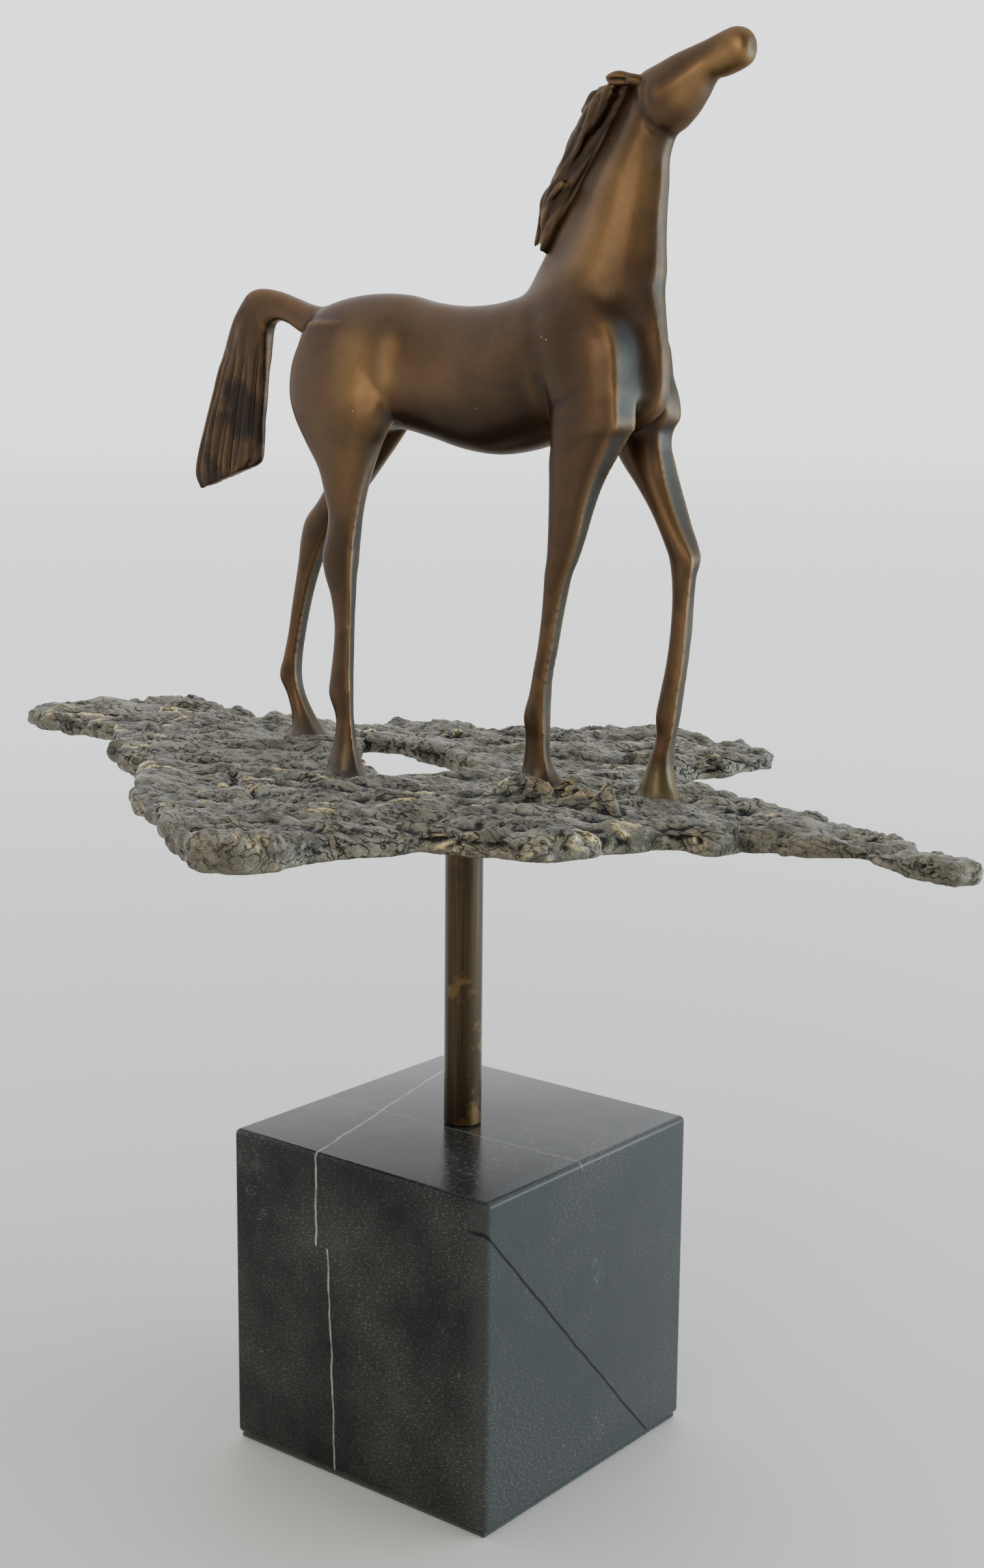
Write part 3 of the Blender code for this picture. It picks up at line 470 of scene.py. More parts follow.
def apply_modifiers(item):
    graph = bpy.context.evaluated_depsgraph_get()
    mesh = bpy.data.meshes.new_from_object(item.evaluated_get(graph))
    item.modifiers.clear()
    old = item.data
    item.data = mesh
    bpy.data.meshes.remove(old)
    item.data.shade_smooth()


def fuse(item, voxel):
    """Melts the shells of an object into one skin."""
    remesh = item.modifiers.new("fuse", "REMESH")
    remesh.mode = "VOXEL"
    remesh.voxel_size = voxel * MM
    remesh.adaptivity = 0
    apply_modifiers(item)


# ---------------------------------------------------------------- carving on vertex arrays

class Clay:
    """The vertices of a mesh as an array, in millimetres, with the means to smooth and push them."""

    def __init__(self, item):
        self.mesh = item.data
        self.points = self.read(self.mesh.vertices, "co", np.float32, 3).astype(float) / MM
        self.edges = self.read(self.mesh.edges, "vertices", np.int32, 2)
        self.degree = np.maximum(np.bincount(self.edges.ravel(), minlength=len(self.points)), 1)

    @staticmethod
    def read(items, name, kind, columns):
        values = np.empty(len(items) * columns, dtype=kind)
        items.foreach_get(name, values)
        return values.reshape(-1, columns)

    def neighbour_mean(self, values):
        first, second = self.edges.T
        columns = [(np.bincount(first, column[second], len(self.degree))
                    + np.bincount(second, column[first], len(self.degree))) / self.degree
                   for column in values.T]
        return np.array(columns).T

    def write(self):
        flat = (self.points * MM).astype(np.float32).ravel()
        self.mesh.vertices.foreach_set("co", flat)
        self.mesh.update()

    def normals(self):
        self.write()
        return self.read(self.mesh.vertex_normals, "vector", np.float32, 3).astype(float)

    def smooth(self, steps, weight=1):
        """Taubin smoothing, which takes off the voxel steps and keeps the size."""
        weight = np.broadcast_to(weight, len(self.points))[:, None]
        for _ in range(steps):
            for pull in (0.5, -0.52):
                self.points += pull * weight * (self.neighbour_mean(self.points) - self.points)

    def relax(self, steps, weight):
        """Plain smoothing, which also draws the shape in."""
        for _ in range(steps):
            self.points += weight * (self.neighbour_mean(self.points) - self.points)

    def fill_creases(self, steps, weight):
        """Raises hollows only, as a fillet of weld and chasing does."""
        for step in range(steps):
            if step % 4 == 0:
                normals = self.normals()
            pull = self.neighbour_mean(self.points) - self.points
            lift = np.maximum(np.einsum("ij,ij->i", pull, normals), 0)
            self.points += (0.9 * weight * lift)[:, None] * normals

    def near(self, balls):
        """1 inside the balls, falling to 0 at their radius."""
        weight = np.zeros(len(self.points))
        for centre, radius in balls:
            gap = np.linalg.norm(self.points - np.array(centre), axis=1) / radius
            weight = np.maximum(weight, np.clip(1.4 * (1 - gap), 0, 1))
        return weight

    def push(self, distance):
        self.points += distance[:, None] * self.normals()

    def store(self, name, values):
        layer = self.mesh.attributes.new(name, "FLOAT", "POINT")
        layer.data.foreach_set("value", np.clip(values, 0, 1).astype(np.float32))

    def bend(self, spread):
        """How far each point stands out of its surroundings, in millimetres (hollows are below 0)."""
        mean = self.points.copy()
        for _ in range(spread):
            mean = self.neighbour_mean(mean)
        return np.einsum("ij,ij->i", self.points - mean, self.normals())


def store_wear(clay, spread, scale):
    """Crest and hollow masks, which the bronze materials rub bright and leave dark."""
    bend = clay.bend(spread) / scale
    clay.store("crest", bend)
    clay.store("hollow", -bend)


# ---------------------------------------------------------------- horse

def along_path(points, path):
    """Distance from each point to a polyline."""
    path = np.array(path, dtype=float)
    gaps = []
    for start, span in zip(path, np.diff(path, axis=0)):
        share = np.clip((points - start) @ span / (span @ span), 0, 1)
        gaps.append(np.linalg.norm(points - start - share[:, None] * span, axis=1))
    return np.min(gaps, axis=0)


def noise_at(*coordinates):
    """Smooth noise, about -1 to 1, at the points with the given arrays of coordinates."""
    points = np.column_stack(np.broadcast_arrays(*coordinates))
    return np.array([noise.noise(Vector(point)) for point in points])


def strokes_on(points, strokes):
    """Sum of the ridges and hollows at each point."""
    return sum(height * np.exp(-(along_path(points, path) / width) ** 2) for height, width, path in strokes)


def sculpt_horse():
    solids = [
        loft_arrays(TRUNK, TRUNK_STYLE), chest_arrays(), loft_arrays(HEAD, HEAD_STYLE),
        leg_arrays(FORELEG_NEAR), leg_arrays(FORELEG_FAR), leg_arrays(HINDLEG_NEAR),
        leg_arrays(HINDLEG_FAR), loft_arrays(TAIL[:TAIL_ROWS_IN_SKIN], TAIL_STYLE),
    ]
    horse = solids_to_object("horse_skin", solids)
    fuse(horse, SKIN_VOXEL)
    clay = Clay(horse)
    clay.smooth(4)
    clay.fill_creases(60, clay.near(BLEND_BALLS))
    clay.push(strokes_on(clay.points, SKIN_STROKES))
    for _ in range(10):
        clay.relax(1, 0.5 * clay.near(SOFT_BALLS)[:, None])
    clay.smooth(7)
    store_wear(clay, 6, 0.5)
    # Mask of the rubbed places, which are partly real wear and partly a painted highlight
    clay.store("rubbed_and_highlight", strokes_on(clay.points, RUBBED_AND_HIGHLIGHT))
    # Mask of painted shade under the belly and in the creases
    clay.store("painted_shade", strokes_on(clay.points, PAINTED_SHADE))
    # Mask of the forward-facing planes, which the body material paints cool grey as a painted reflection of
    # the window light
    clay.store("front_plane", (clay.normals()[:, 0] - 0.72) * 5)
    clay.write()
    return horse


def keep_side(bm, point, normal):
    """Cuts a mesh by a plane, drops what lies beyond it and closes the cut with its own face."""
    geometry = bm.verts[:] + bm.edges[:] + bm.faces[:]
    made = bmesh.ops.bisect_plane(bm, geom=geometry, plane_co=Vector(point) * MM,
                                  plane_no=Vector(normal), clear_outer=True)
    rim = [item for item in made["geom_cut"] if isinstance(item, bmesh.types.BMEdge)]
    if not rim:
        return
    copy = bmesh.ops.duplicate(bm, geom=rim)
    edges = [item for item in copy["geom"] if isinstance(item, bmesh.types.BMEdge)]
    bmesh.ops.triangle_fill(bm, use_beauty=True, edges=edges, normal=Vector(normal))


def carve_piece(skin, name, planes):
    """One casting of the horse: what lies inside all the planes, each a point and outward normal."""
    bm = bmesh.new()
    bm.from_mesh(skin.data)
    for point, normal in planes:
        keep_side(bm, point, normal)
    return to_object(bm, name)


def split_horse(skin):
    cheek = Vector((THROAT[1] - POLL[1], 0, POLL[0] - THROAT[0]))
    throat = (THROAT[0], 0, THROAT[1])
    leg_top = (0, 0, LEG_SECTION)
    dock_section = (DOCK_SECTION_X, 0, 0)
    neck_section = (0, 0, NECK_SECTION)
    cuts = {
        "head": [(throat, cheek)],
        "neck": [(throat, -cheek), (neck_section, DOWN)],
        "torso": [(neck_section, UP), (leg_top, DOWN), (dock_section, (-1, 0, 0))],
        "tail_dock": [(dock_section, (1, 0, 0)), (UNDER_DOCK, DOWN), (TAIL_JOINT, TAIL_JOINT_NORMAL)],
    }
    for pair, forward in (("fore", -1), ("hind", 1)):
        for side, across in (("right", 1), ("left", -1)):
            cuts[f"leg_{pair}_{side}"] = [(leg_top, UP), (BETWEEN_LEGS, (forward, 0, 0)),
                                          ((0, 0, 0), (0, across, 0))]
    return {name: carve_piece(skin, name + "_look", planes) for name, planes in cuts.items()}


# ---------------------------------------------------------------- hair and ears

def sculpt_ear(name, sign):
    rows = [row[:5] + (sign * row[5],) for row in EAR]
    ear = solids_to_object(name, [loft_arrays(rows, EAR_STYLE, 32)])
    fuse(ear, 0.3)
    clay = Clay(ear)
    depth, width, path = EAR_FOLD
    fold = [(x, sign * (y + 4.6), z) for x, y, z in path]
    clay.push(strokes_on(clay.points, [(depth, width, fold)]))
    clay.smooth(3)
    store_wear(clay, 4, 0.15)
    clay.write()
    return ear


def nape_at(share):
    """Point of the nape at a share of its length, with the outward direction there."""
    line = np.array(NAPE, dtype=float)
    steps = np.concatenate([[0], np.cumsum(np.linalg.norm(np.diff(line, axis=0), axis=1))])
    place = np.array([np.interp(share * steps[-1], steps, line[:, axis]) for axis in (0, 1)])
    lean = min(share / 0.3, 1)
    out = np.array([-1 + 0.17 * lean, 0.56 * lean])
    return place, out / np.linalg.norm(out)


def oval(centre, out, side, girth, sides):
    """Ring round a point of the nape, as wide as its girth and as high as out says in girths."""
    angle = 2 * np.pi * np.arange(sides) / sides
    high = girth * np.cos(angle)
    across = side + girth * np.sin(angle)
    return np.column_stack([centre[0] + out[0] * high, across, centre[1] + out[1] * high])


def lock_arrays(start, span, root_side, tip_side, lift, girth):
    """One lock of the mane: a tapered, slightly waved strand lying along the nape."""
    rings = []
    for share in np.linspace(0, 1, 22):
        place, out = nape_at(start + span * share)
        rise = lift * (0.55 + 0.45 * math.sin(math.pi * (0.1 + 0.62 * share)))
        wave = 0.7 * math.sin(7 * share + 9 * start)
        centre = place + out * (rise + wave - girth * 0.6)
        side = root_side + (tip_side - root_side) * share + 0.5 * math.sin(6 * share + 17 * start)
        radius = girth * (0.55 + 0.45 * math.sin(math.pi * min(0.3 + share, 1)))
        radius *= min(1, 6 * (1.02 - share)) ** 0.7
        rings.append(oval(centre, out * 0.8, side, radius, 14))
    return close_rings(np.array(rings))


def nape_bed():
    """Body of the mane under its locks."""
    rings = []
    for share in np.linspace(0.04, 0.9, 24):
        place, out = nape_at(share)
        depth = 7.6 * math.sin(math.pi * min(0.22 + 0.86 * share, 1)) ** 0.5 + 0.6
        rings.append(oval(place + out * (depth * 0.3), out * 0.7 * depth / 5.4, 1.2, 5.4, 20))
    return close_rings(np.array(rings))


def sculpt_mane():
    mane = solids_to_object("mane_look", [nape_bed()] + [lock_arrays(*lock) for lock in LOCKS])
    fuse(mane, HAIR_VOXEL)
    clay = Clay(mane)
    clay.smooth(3)
    x, y, z = clay.points.T
    strands = noise_at(x * 0.06 + z * 0.04, y * 0.42, (x * 0.56 - z * 0.4) * 0.55)
    clay.push(1.3 * np.abs(strands) - 0.35)
    clay.smooth(4)
    store_wear(clay, 6, 0.6)
    clay.write()
    return mane


def tail_place(points):
    """Where each point lies on the tail: share of its width and share of its length."""
    rows = spread_rows(TAIL, 24)
    flat = points[:, [0, 2]]
    width = rows[:, [2, 3]] - rows[:, [0, 1]]
    gap = flat[:, None] - rows[None, :, [0, 1]]
    off_row = np.abs(gap[..., 0] * width[:, 1] - gap[..., 1] * width[:, 0])
    nearest = np.argmin(off_row / np.linalg.norm(width, axis=1), axis=1)
    chosen = width[nearest]
    across = np.einsum("ij,ij->i", flat - rows[nearest][:, [0, 1]], chosen)
    return across / np.einsum("ij,ij->i", chosen, chosen), nearest / len(rows)


def sculpt_switch():
    """Flat end of the tail, furrowed lengthwise, cut from the same shape as the dock."""
    tail = solids_to_object("tail", [loft_arrays(TAIL[3:], TAIL_STYLE, 48)])
    fuse(tail, HAIR_VOXEL)
    clay = Clay(tail)
    clay.smooth(8)
    across, down = tail_place(clay.points)
    depth = np.zeros(len(clay.points))
    end = np.clip((0.985 - down) * 20, 0.35, 1)
    for place, deep, half, start in TAIL_FURROWS:
        wander = 0.02 * np.sin(9 * down + 20 * place)
        furrow = deep * np.exp(-((across - place - wander) / half) ** 2)
        depth -= furrow * np.clip((down - start) * 7, 0, 1) * end
    x, y, z = clay.points.T
    pits = np.clip(noise_at(x * 0.16, y * 0.2, z * 0.11) - 0.12, 0, 1)
    depth -= 2 * pits * np.clip(2.2 - 2.4 * down, 0, 1)
    depth += 0.6 * noise_at(across * 6, y * 0.3, down * 9)
    past_joint = (clay.points - TAIL_JOINT) @ np.array(TAIL_JOINT_NORMAL)
    depth *= np.clip((past_joint - 1.5) / 9, 0, 1)
    depth *= np.clip(np.abs(clay.normals()[:, 1]) * 1.6, 0.2, 1)
    clay.push(depth)
    clay.smooth(3)
    store_wear(clay, 6, 0.6)
    clay.store("joined", 1 - (past_joint - 1) / 16)
    clay.write()
    switch = carve_piece(tail, "tail_switch_look", [(TAIL_JOINT, -Vector(TAIL_JOINT_NORMAL))])
    bpy.data.objects.remove(tail, do_unlink=True)
    return switch


# ---------------------------------------------------------------- slab

def swell(x, y, bumps):
    return sum(h * np.exp(-((x - cx) ** 2 + (y - cy) ** 2) / r ** 2) for cx, cy, r, h in bumps)


def slab_faces(x, y):
    """Heights of the slab's upper and lower face."""
    upper = SLAB_TOP + swell(x, y, UPPER_SWELLS) + 0.6 * np.sin(x / 17) * np.cos(y / 13)
    outward = np.minimum(np.hypot(x, y) / 60, 1)
    lower = swell(x, y, LOWER_SWELLS) + 0.5 * np.sin(x / 21) * np.sin(y / 16)
    return upper, SLAB_TOP - SLAB_THICKNESS + lower * outward


def slab_blank():
    bm = bmesh.new()
    edges = []
    for outline in (SLAB_OUTLINE, SLAB_HOLE):
        verts = [bm.verts.new((x * MM, y * MM, 0)) for x, y in outline]
        edges += [bm.edges.new((verts[i - 1], verts[i])) for i in range(len(verts))]
    bmesh.ops.triangle_fill(bm, use_beauty=True, edges=edges)
    made = bmesh.ops.extrude_face_region(bm, geom=bm.faces[:])
    raised = [item for item in made["geom"] if isinstance(item, bmesh.types.BMVert)]
    bmesh.ops.translate(bm, verts=raised, vec=(0, 0, SLAB_THICKNESS * MM))
    return to_object(outward(bm), "terrain_slab_look")


def bark_height(x, y, z):
    """Flakes of bark: rounded scales drawn out along the grain, with creases between them."""
    along = x * GRAIN[0] + y * GRAIN[1]
    across = -x * GRAIN[1] + y * GRAIN[0] + 5 * noise_at(x * 0.035, y * 0.035, 3.1)
    scale = np.abs(noise_at(along * 0.07, across * 0.15, z * 0.14))
    flake = np.abs(noise_at(along * 0.15 + 7 + 0.8 * scale, across * 0.36, z * 0.3))
    fibre = np.abs(noise_at(along * 0.42, across * 0.8 + 5, z * 0.7))
    grain = noise_at(along, across * 1.3, z * 1.2)
    lump = noise_at(along * 0.045, across * 0.06, 11)
    layer = noise_at(along * 0.05 + 0.5 * flake, across * 0.13, 4)
    terrace = sum(smoothstep(9 * (layer - level)) for level in (-0.22, 0, 0.22))
    return 1.6 * scale + 2.1 * flake + 0.8 * fibre + 0.2 * grain + 1.5 * lump + 0.9 * terrace


def smoothstep(value):
    share = np.clip(value + 0.5, 0, 1)
    return share * share * (3 - 2 * share)


def sculpt_slab():
    slab = slab_blank()
    fuse(slab, SLAB_VOXEL)
    clay = Clay(slab)
    x, y, _ = clay.points.T
    ragged = [noise_at(x * 0.09, y * 0.09, shift) for shift in (0.5, 20.5)]
    clay.points[:, :2] += 3 * np.transpose(ragged)
    clay.smooth(2)
    clay.relax(14, 0.6)
    x, y, level = clay.points.T.copy()
    share = np.clip(level / SLAB_THICKNESS, 0, 1)
    upper, lower = slab_faces(x, y)
    clay.points[:, 2] = lower + share * (upper - lower)
    foot = np.min([np.hypot(x - cx, y - cy) for cx, cy in HOOVES], axis=0)
    at_foot = np.exp(-(foot / 9.5) ** 2)
    over_post = np.exp(-(np.hypot(x, y) / 16) ** 4) * (share < 0.5)
    bark = bark_height(*clay.points.T)
    depth = (bark - 2.7) * (0.25 + 0.75 * np.clip(share * 1.6, 0, 1)) * (1 - 0.8 * at_foot)
    flat_points = clay.points.copy()
    flat_points[:, 2] = 0
    strokes = [(h, w, [(a, b, 0) for a, b in path]) for h, w, path in BARK_STROKES]
    depth += strokes_on(flat_points, strokes) * np.clip(share * 2 - 0.8, 0, 1)
    depth *= 1 - over_post
    clay.push(depth)
    clay.points[:, 2] += 1.6 * np.exp(-(foot / 7.5) ** 2) * (share > 0.6)
    clay.smooth(1)
    store_wear(clay, 6, 0.8)
    clay.store("smooth_metal", at_foot)
    clay.store("knot", clay.near(KNOT_BALLS))
    clay.write()
    return slab


# ---------------------------------------------------------------- post and felt

def turned(name, profile, sides=128):
    """A solid turned about the vertical axis from a closed profile of radius and height."""
    angles = 2 * np.pi * np.arange(sides) / sides
    bm = bmesh.new()
    rings = [[bm.verts.new(Vector((r * math.cos(a), r * math.sin(a), z)) * MM) for a in angles]
             for r, z in profile]
    for level, ring in enumerate(rings):
        above = rings[(level + 1) % len(rings)]
        for step in range(sides):
            after = (step + 1) % sides
            bm.faces.new((ring[step], ring[after], above[after], above[step]))
    return to_object(outward(bm), name)


def make_post():
    outer = POST_RADIUS - POST_EDGE
    post = turned("support_post_look", [
        (POST_BORE_RADIUS, POST_FROM), (outer, POST_FROM), (POST_RADIUS, POST_FROM + POST_EDGE),
        (POST_RADIUS, POST_TO - POST_EDGE), (outer, POST_TO), (POST_BORE_RADIUS, POST_TO),
    ])
    soften = post.modifiers.new("edges", "WEIGHTED_NORMAL")
    soften.keep_sharp = True
    for edge in post.data.edges:
        first, second = (post.data.vertices[index].co.z for index in edge.vertices)
        edge.use_edge_sharp = math.isclose(first, second, abs_tol=1e-7)
    return post


def make_camera():
    data = bpy.data.cameras.new("camera")
    data.lens = CAMERA_LENS
    camera = bpy.data.objects.new("camera", data)
    turns = (Matrix.Rotation(-CAMERA_AZIMUTH, 4, "Z") @ Matrix.Rotation(math.pi / 2 - CAMERA_DOWN, 4, "X")
             @ Matrix.Rotation(CAMERA_ROLL, 4, "Z"))
    camera.matrix_world = Matrix.Translation(CAMERA_AT) @ turns
    bpy.context.collection.objects.link(camera)
    bpy.context.scene.camera = camera


def area_light(name, place, target, size, power, colour):
    data = bpy.data.lights.new(name, "AREA")
    data.shape = "RECTANGLE"
    data.size, data.size_y = size
    data.energy = power
    data.color = colour
    light = bpy.data.objects.new(name, data)
    light.location = place
    aim = Vector(target) - Vector(place)
    light.rotation_euler = aim.to_track_quat("-Z", "Y").to_euler()
    bpy.context.collection.objects.link(light)


def make_block():
    """Stone block with rounded edges, bored for the rod and recessed for its nut."""
    block = box_object("marble_base_look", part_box("marble_base"))
    rounding = block.modifiers.new("rounding", "BEVEL")
    rounding.width = BLOCK_ROUNDING * MM
    rounding.segments = 6
    apply_modifiers(block)
    low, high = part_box("marble_base")
    middle = (low.z + high.z) / 2 / MM
    under = low.z / MM
    cuts = [(ROD_BORE_RADIUS, -PAST_FACE, middle), (RECESS_RADIUS, under - PAST_FACE, under + RECESS_DEPTH),
            (ROD_BORE_RADIUS, middle - 1, ABOVE_BLOCK)]
    for radius, bottom, top in cuts:
        cutter = turned("bore", [(CORE, bottom), (radius, bottom), (radius, top), (CORE, top)], 64)
        cut = block.modifiers.new("bore", "BOOLEAN")
        cut.operation = "DIFFERENCE"
        cut.solver = "EXACT"
        cut.object = cutter
        apply_modifiers(block)
        bpy.data.objects.remove(cutter, do_unlink=True)
    block.data.shade_flat()
    shade_by_angle(block, 30)
    return block


def shade_by_angle(item, degrees):
    """Smooth faces whose edges are sharp where they meet at more than the given angle."""
    bm = bmesh.new()
    bm.from_mesh(item.data)
    limit = math.radians(degrees)
    for face in bm.faces:
        face.smooth = True
    for edge in bm.edges:
        edge.smooth = edge.is_manifold and edge.calc_face_angle() < limit
    bm.to_mesh(item.data)
    bm.free()


def box_object(name, corners):
    low, high = corners
    bm = bmesh.new()
    bmesh.ops.create_cube(bm, size=1)
    for vert in bm.verts:
        vert.co = [low[axis] if vert.co[axis] < 0 else high[axis] for axis in range(3)]
    return to_object(bm, name)


def make_felt():
    """Felt sheet with soft, slightly uneven edges."""
    felt = box_object("base_felt_look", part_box("base_felt"))
    fuse(felt, 0.5)
    clay = Clay(felt)
    clay.smooth(2)
    clay.push(0.12 * noise_at(*(clay.points.T * 0.7)))
    clay.points[:, 2] = np.maximum(clay.points[:, 2], 0)
    clay.write()
    return felt


# ---------------------------------------------------------------- materials

class Signal:
    """Output of a node in a material, which adds and multiplies as a number does."""

    def __init__(self, shade, socket):
        self.shade = shade
        self.socket = socket

    def __add__(self, other):
        return self.shade.math("ADD", self, other)

    def __sub__(self, other):
        return self.shade.math("SUBTRACT", self, other)

    def __mul__(self, other):
        return self.shade.math("MULTIPLY", self, other)

    def most(self, other):
        return self.shade.math("MAXIMUM", self, other)

    def size(self):
        return self.shade.math("ABSOLUTE", self)

    def span(self, low, high, to_low=0, to_high=1):
        """Maps low to high onto to_low to to_high, and stays there beyond them."""
        node = self.shade.tree.nodes.new("ShaderNodeMapRange")
        return self.shade.wire(node, zip(range(5), (self, low, high, to_low, to_high)))


class Shade:
    """A material with a Principled shader, and short ways to add the nodes that feed it."""

    def __init__(self, name):
        self.material = bpy.data.materials.new(name)
        self.material.use_nodes = True
        self.tree = self.material.node_tree
        self.shader = self.tree.nodes["Principled BSDF"]
        self.place = Signal(self, self.tree.nodes.new("ShaderNodeTexCoord").outputs["Object"])

    def feed(self, socket, value):
        if isinstance(value, Signal):
            self.tree.links.new(value.socket, socket)
        elif socket.type == "RGBA" and len(value) == 3:
            socket.default_value = (*value, 1)
        else:
            socket.default_value = value

    def wire(self, node, inputs, output=0):
        """Feeds a node's inputs, each given with its name or number, and returns one of its outputs."""
        for socket, value in inputs:
            self.feed(node.inputs[socket], value)
        return Signal(self, node.outputs[output])

    def set(self, **inputs):
        self.wire(self.shader, [(name.replace("_", " "), value) for name, value in inputs.items()])

    def attribute(self, name):
        node = self.tree.nodes.new("ShaderNodeAttribute")
        node.attribute_name = name
        return self.wire(node, [], "Fac")

    def stretched(self, scale, turn=0):
        node = self.tree.nodes.new("ShaderNodeMapping")
        return self.wire(node, [("Vector", self.place), ("Rotation", (0, 0, turn)), ("Scale", scale)])

    def noise(self, scale, detail=3, rough=0.5, vector=None):
        node = self.tree.nodes.new("ShaderNodeTexNoise")
        return self.wire(node, [("Vector", vector or self.place), ("Scale", scale), ("Detail", detail),
                                ("Roughness", rough)], "Fac")

    def cells(self, scale):
        node = self.tree.nodes.new("ShaderNodeTexVoronoi")
        return self.wire(node, [("Vector", self.place), ("Scale", scale)], "Distance")

    def math(self, operation, first, second=0):
        node = self.tree.nodes.new("ShaderNodeMath")
        node.operation = operation
        return self.wire(node, [(0, first), (1, second)])

    def mix(self, factor, first, second):
        node = self.tree.nodes.new("ShaderNodeMix")
        node.data_type = "RGBA"
        return self.wire(node, [("Factor", factor), ("A", first), ("B", second)], "Result")

    def axes(self):
        node = self.tree.nodes.new("ShaderNodeSeparateXYZ")
        self.feed(node.inputs[0], self.place)
        return [Signal(self, output) for output in node.outputs]

    def bump(self, height, distance, strength=1):
        node = self.tree.nodes.new("ShaderNodeBump")
        normal = self.wire(node, [("Height", height), ("Distance", distance), ("Strength", strength)])
        self.set(Normal=normal)


def patina(shade):
    """Brown of the waxed bronze and the cloudy mask that mottles it."""
    mottle = shade.noise(38, 4, 0.6)
    cloud = shade.noise(16, 2).span(0.38, 0.66)
    brown = shade.mix(mottle.span(0.35, 0.65), (0.023, 0.0132, 0.0074), (0.047, 0.0265, 0.0138))
    return shade.mix(cloud * 0.5, brown, (0.07, 0.0395, 0.018)), mottle


def wax(shade, colour, rough):
    shade.set(Base_Color=colour, Metallic=0.85, Roughness=rough, Specular_Tint=(0.5, 0.43, 0.36),
              Coat_Weight=0.22, Coat_Roughness=0.28)


def body_bronze():
    """Smooth brown patina, golden on edges and rubbed places that are partly a painted highlight, with
    painted shade.
    """
    shade = Shade("bronze_body")
    x, _, height = shade.axes()
    brown, mottle = patina(shade)
    # Golden: partly rubbed wear, partly a painted highlight where light catches the neck, haunch and leg
    # ridges
    rubbed_and_highlight = shade.attribute("rubbed_and_highlight") * mottle.span(0.25, 0.6, 0.55, 1)
    brown = shade.mix(rubbed_and_highlight, brown, (0.17, 0.098, 0.039))
    # Painted shade under the belly and in the creases, and darker from the belly line down the legs
    dark = height.span(0.385, 0.335, 0, 0.8).most(shade.attribute("painted_shade"))
    outside_rubbed_and_highlight = shade.math("SUBTRACT", 1, rubbed_and_highlight)
    brown = shade.mix(dark * outside_rubbed_and_highlight, brown, (0.0155, 0.0094, 0.006))
    # Painted sheen: forward-facing planes painted cool grey, a painted reflection of the window light
    painted_sheen = shade.attribute("front_plane") * mottle.span(0.2, 0.7, 0.7, 1)
    brown = shade.mix(painted_sheen, brown, (0.036, 0.041, 0.039))
    brown = shade.mix(shade.attribute("crest") * 0.6, brown, (0.26, 0.145, 0.055))
    brown = shade.mix(shade.attribute("hollow") * 0.6, brown, (0.008, 0.005, 0.004))
    foot = shade.mix(x.span(0.066, 0.07), (0.055, 0.05, 0.04), (0.1, 0.083, 0.044))
    ragged = height + mottle.span(0.2, 0.8, -0.005, 0.005)
    brown = shade.mix(ragged.span(0.267, 0.256, 0, 0.8), brown, foot)
    fleck = shade.cells(260).span(0.06, 0.03) * shade.noise(45, 1).span(0.66, 0.7)
    colour = shade.mix(fleck, brown, (0.75, 0.55, 0.25))
    rough = mottle.span(0.3, 0.7, 0.5, 0.4) - rubbed_and_highlight * 0.04
    wax(shade, colour, rough.most(painted_sheen * 0.6))
    shade.set(Coat_Weight=painted_sheen.span(0, 1, 0.22, 0.03))
    ripple = shade.noise(1400, 2) * 0.3 + shade.noise(260, 3) + shade.noise(70, 2) * 1.5
    shade.bump(ripple, 0.00016, 0.9)
    return shade.material


def hair_bronze():
    """The same patina on the mane and tail, darker in the furrows and golden along the locks."""
    shade = Shade("bronze_hair")
    base, cloudy = patina(shade)
    mottle = shade.noise(90, 4, 0.6)
    crest = shade.attribute("crest") * mottle.span(0.35, 0.6, 0.25, 0.9)
    brown = shade.mix(crest, base, (0.19, 0.115, 0.048))
    tail_more_than_mane = shade.axes()[0].span(-0.05, 0, 0.9, 0.4)
    blotch = shade.noise(46, 3, 0.6).span(0.47, 0.6) * tail_more_than_mane
    brown = shade.mix(blotch, brown, (0.012, 0.009, 0.007))
    brown = shade.mix(shade.attribute("hollow") * 0.7, brown, (0.01, 0.0078, 0.006))
    colour = shade.mix(shade.attribute("joined"), brown, base)
    wax(shade, colour, cloudy.span(0.3, 0.7, 0.5, 0.4))
    shade.bump(shade.noise(300, 4, 0.6), 0.0003, 0.9)
    return shade.material


def flaked(base, levels):
    """Terraces and the cracks along their edges, where a noise crosses each of the levels."""
    steps = [base.span(level - 0.01, level + 0.01) for level in levels]
    cracks = [(base - (level - 0.008)).size().span(0.012, 0.003) for level in levels]
    terraces, crack = steps[0], cracks[0]
    for step, other in zip(steps[1:], cracks[1:]):
        terraces = terraces + step
        crack = crack.most(other)
    return terraces, crack


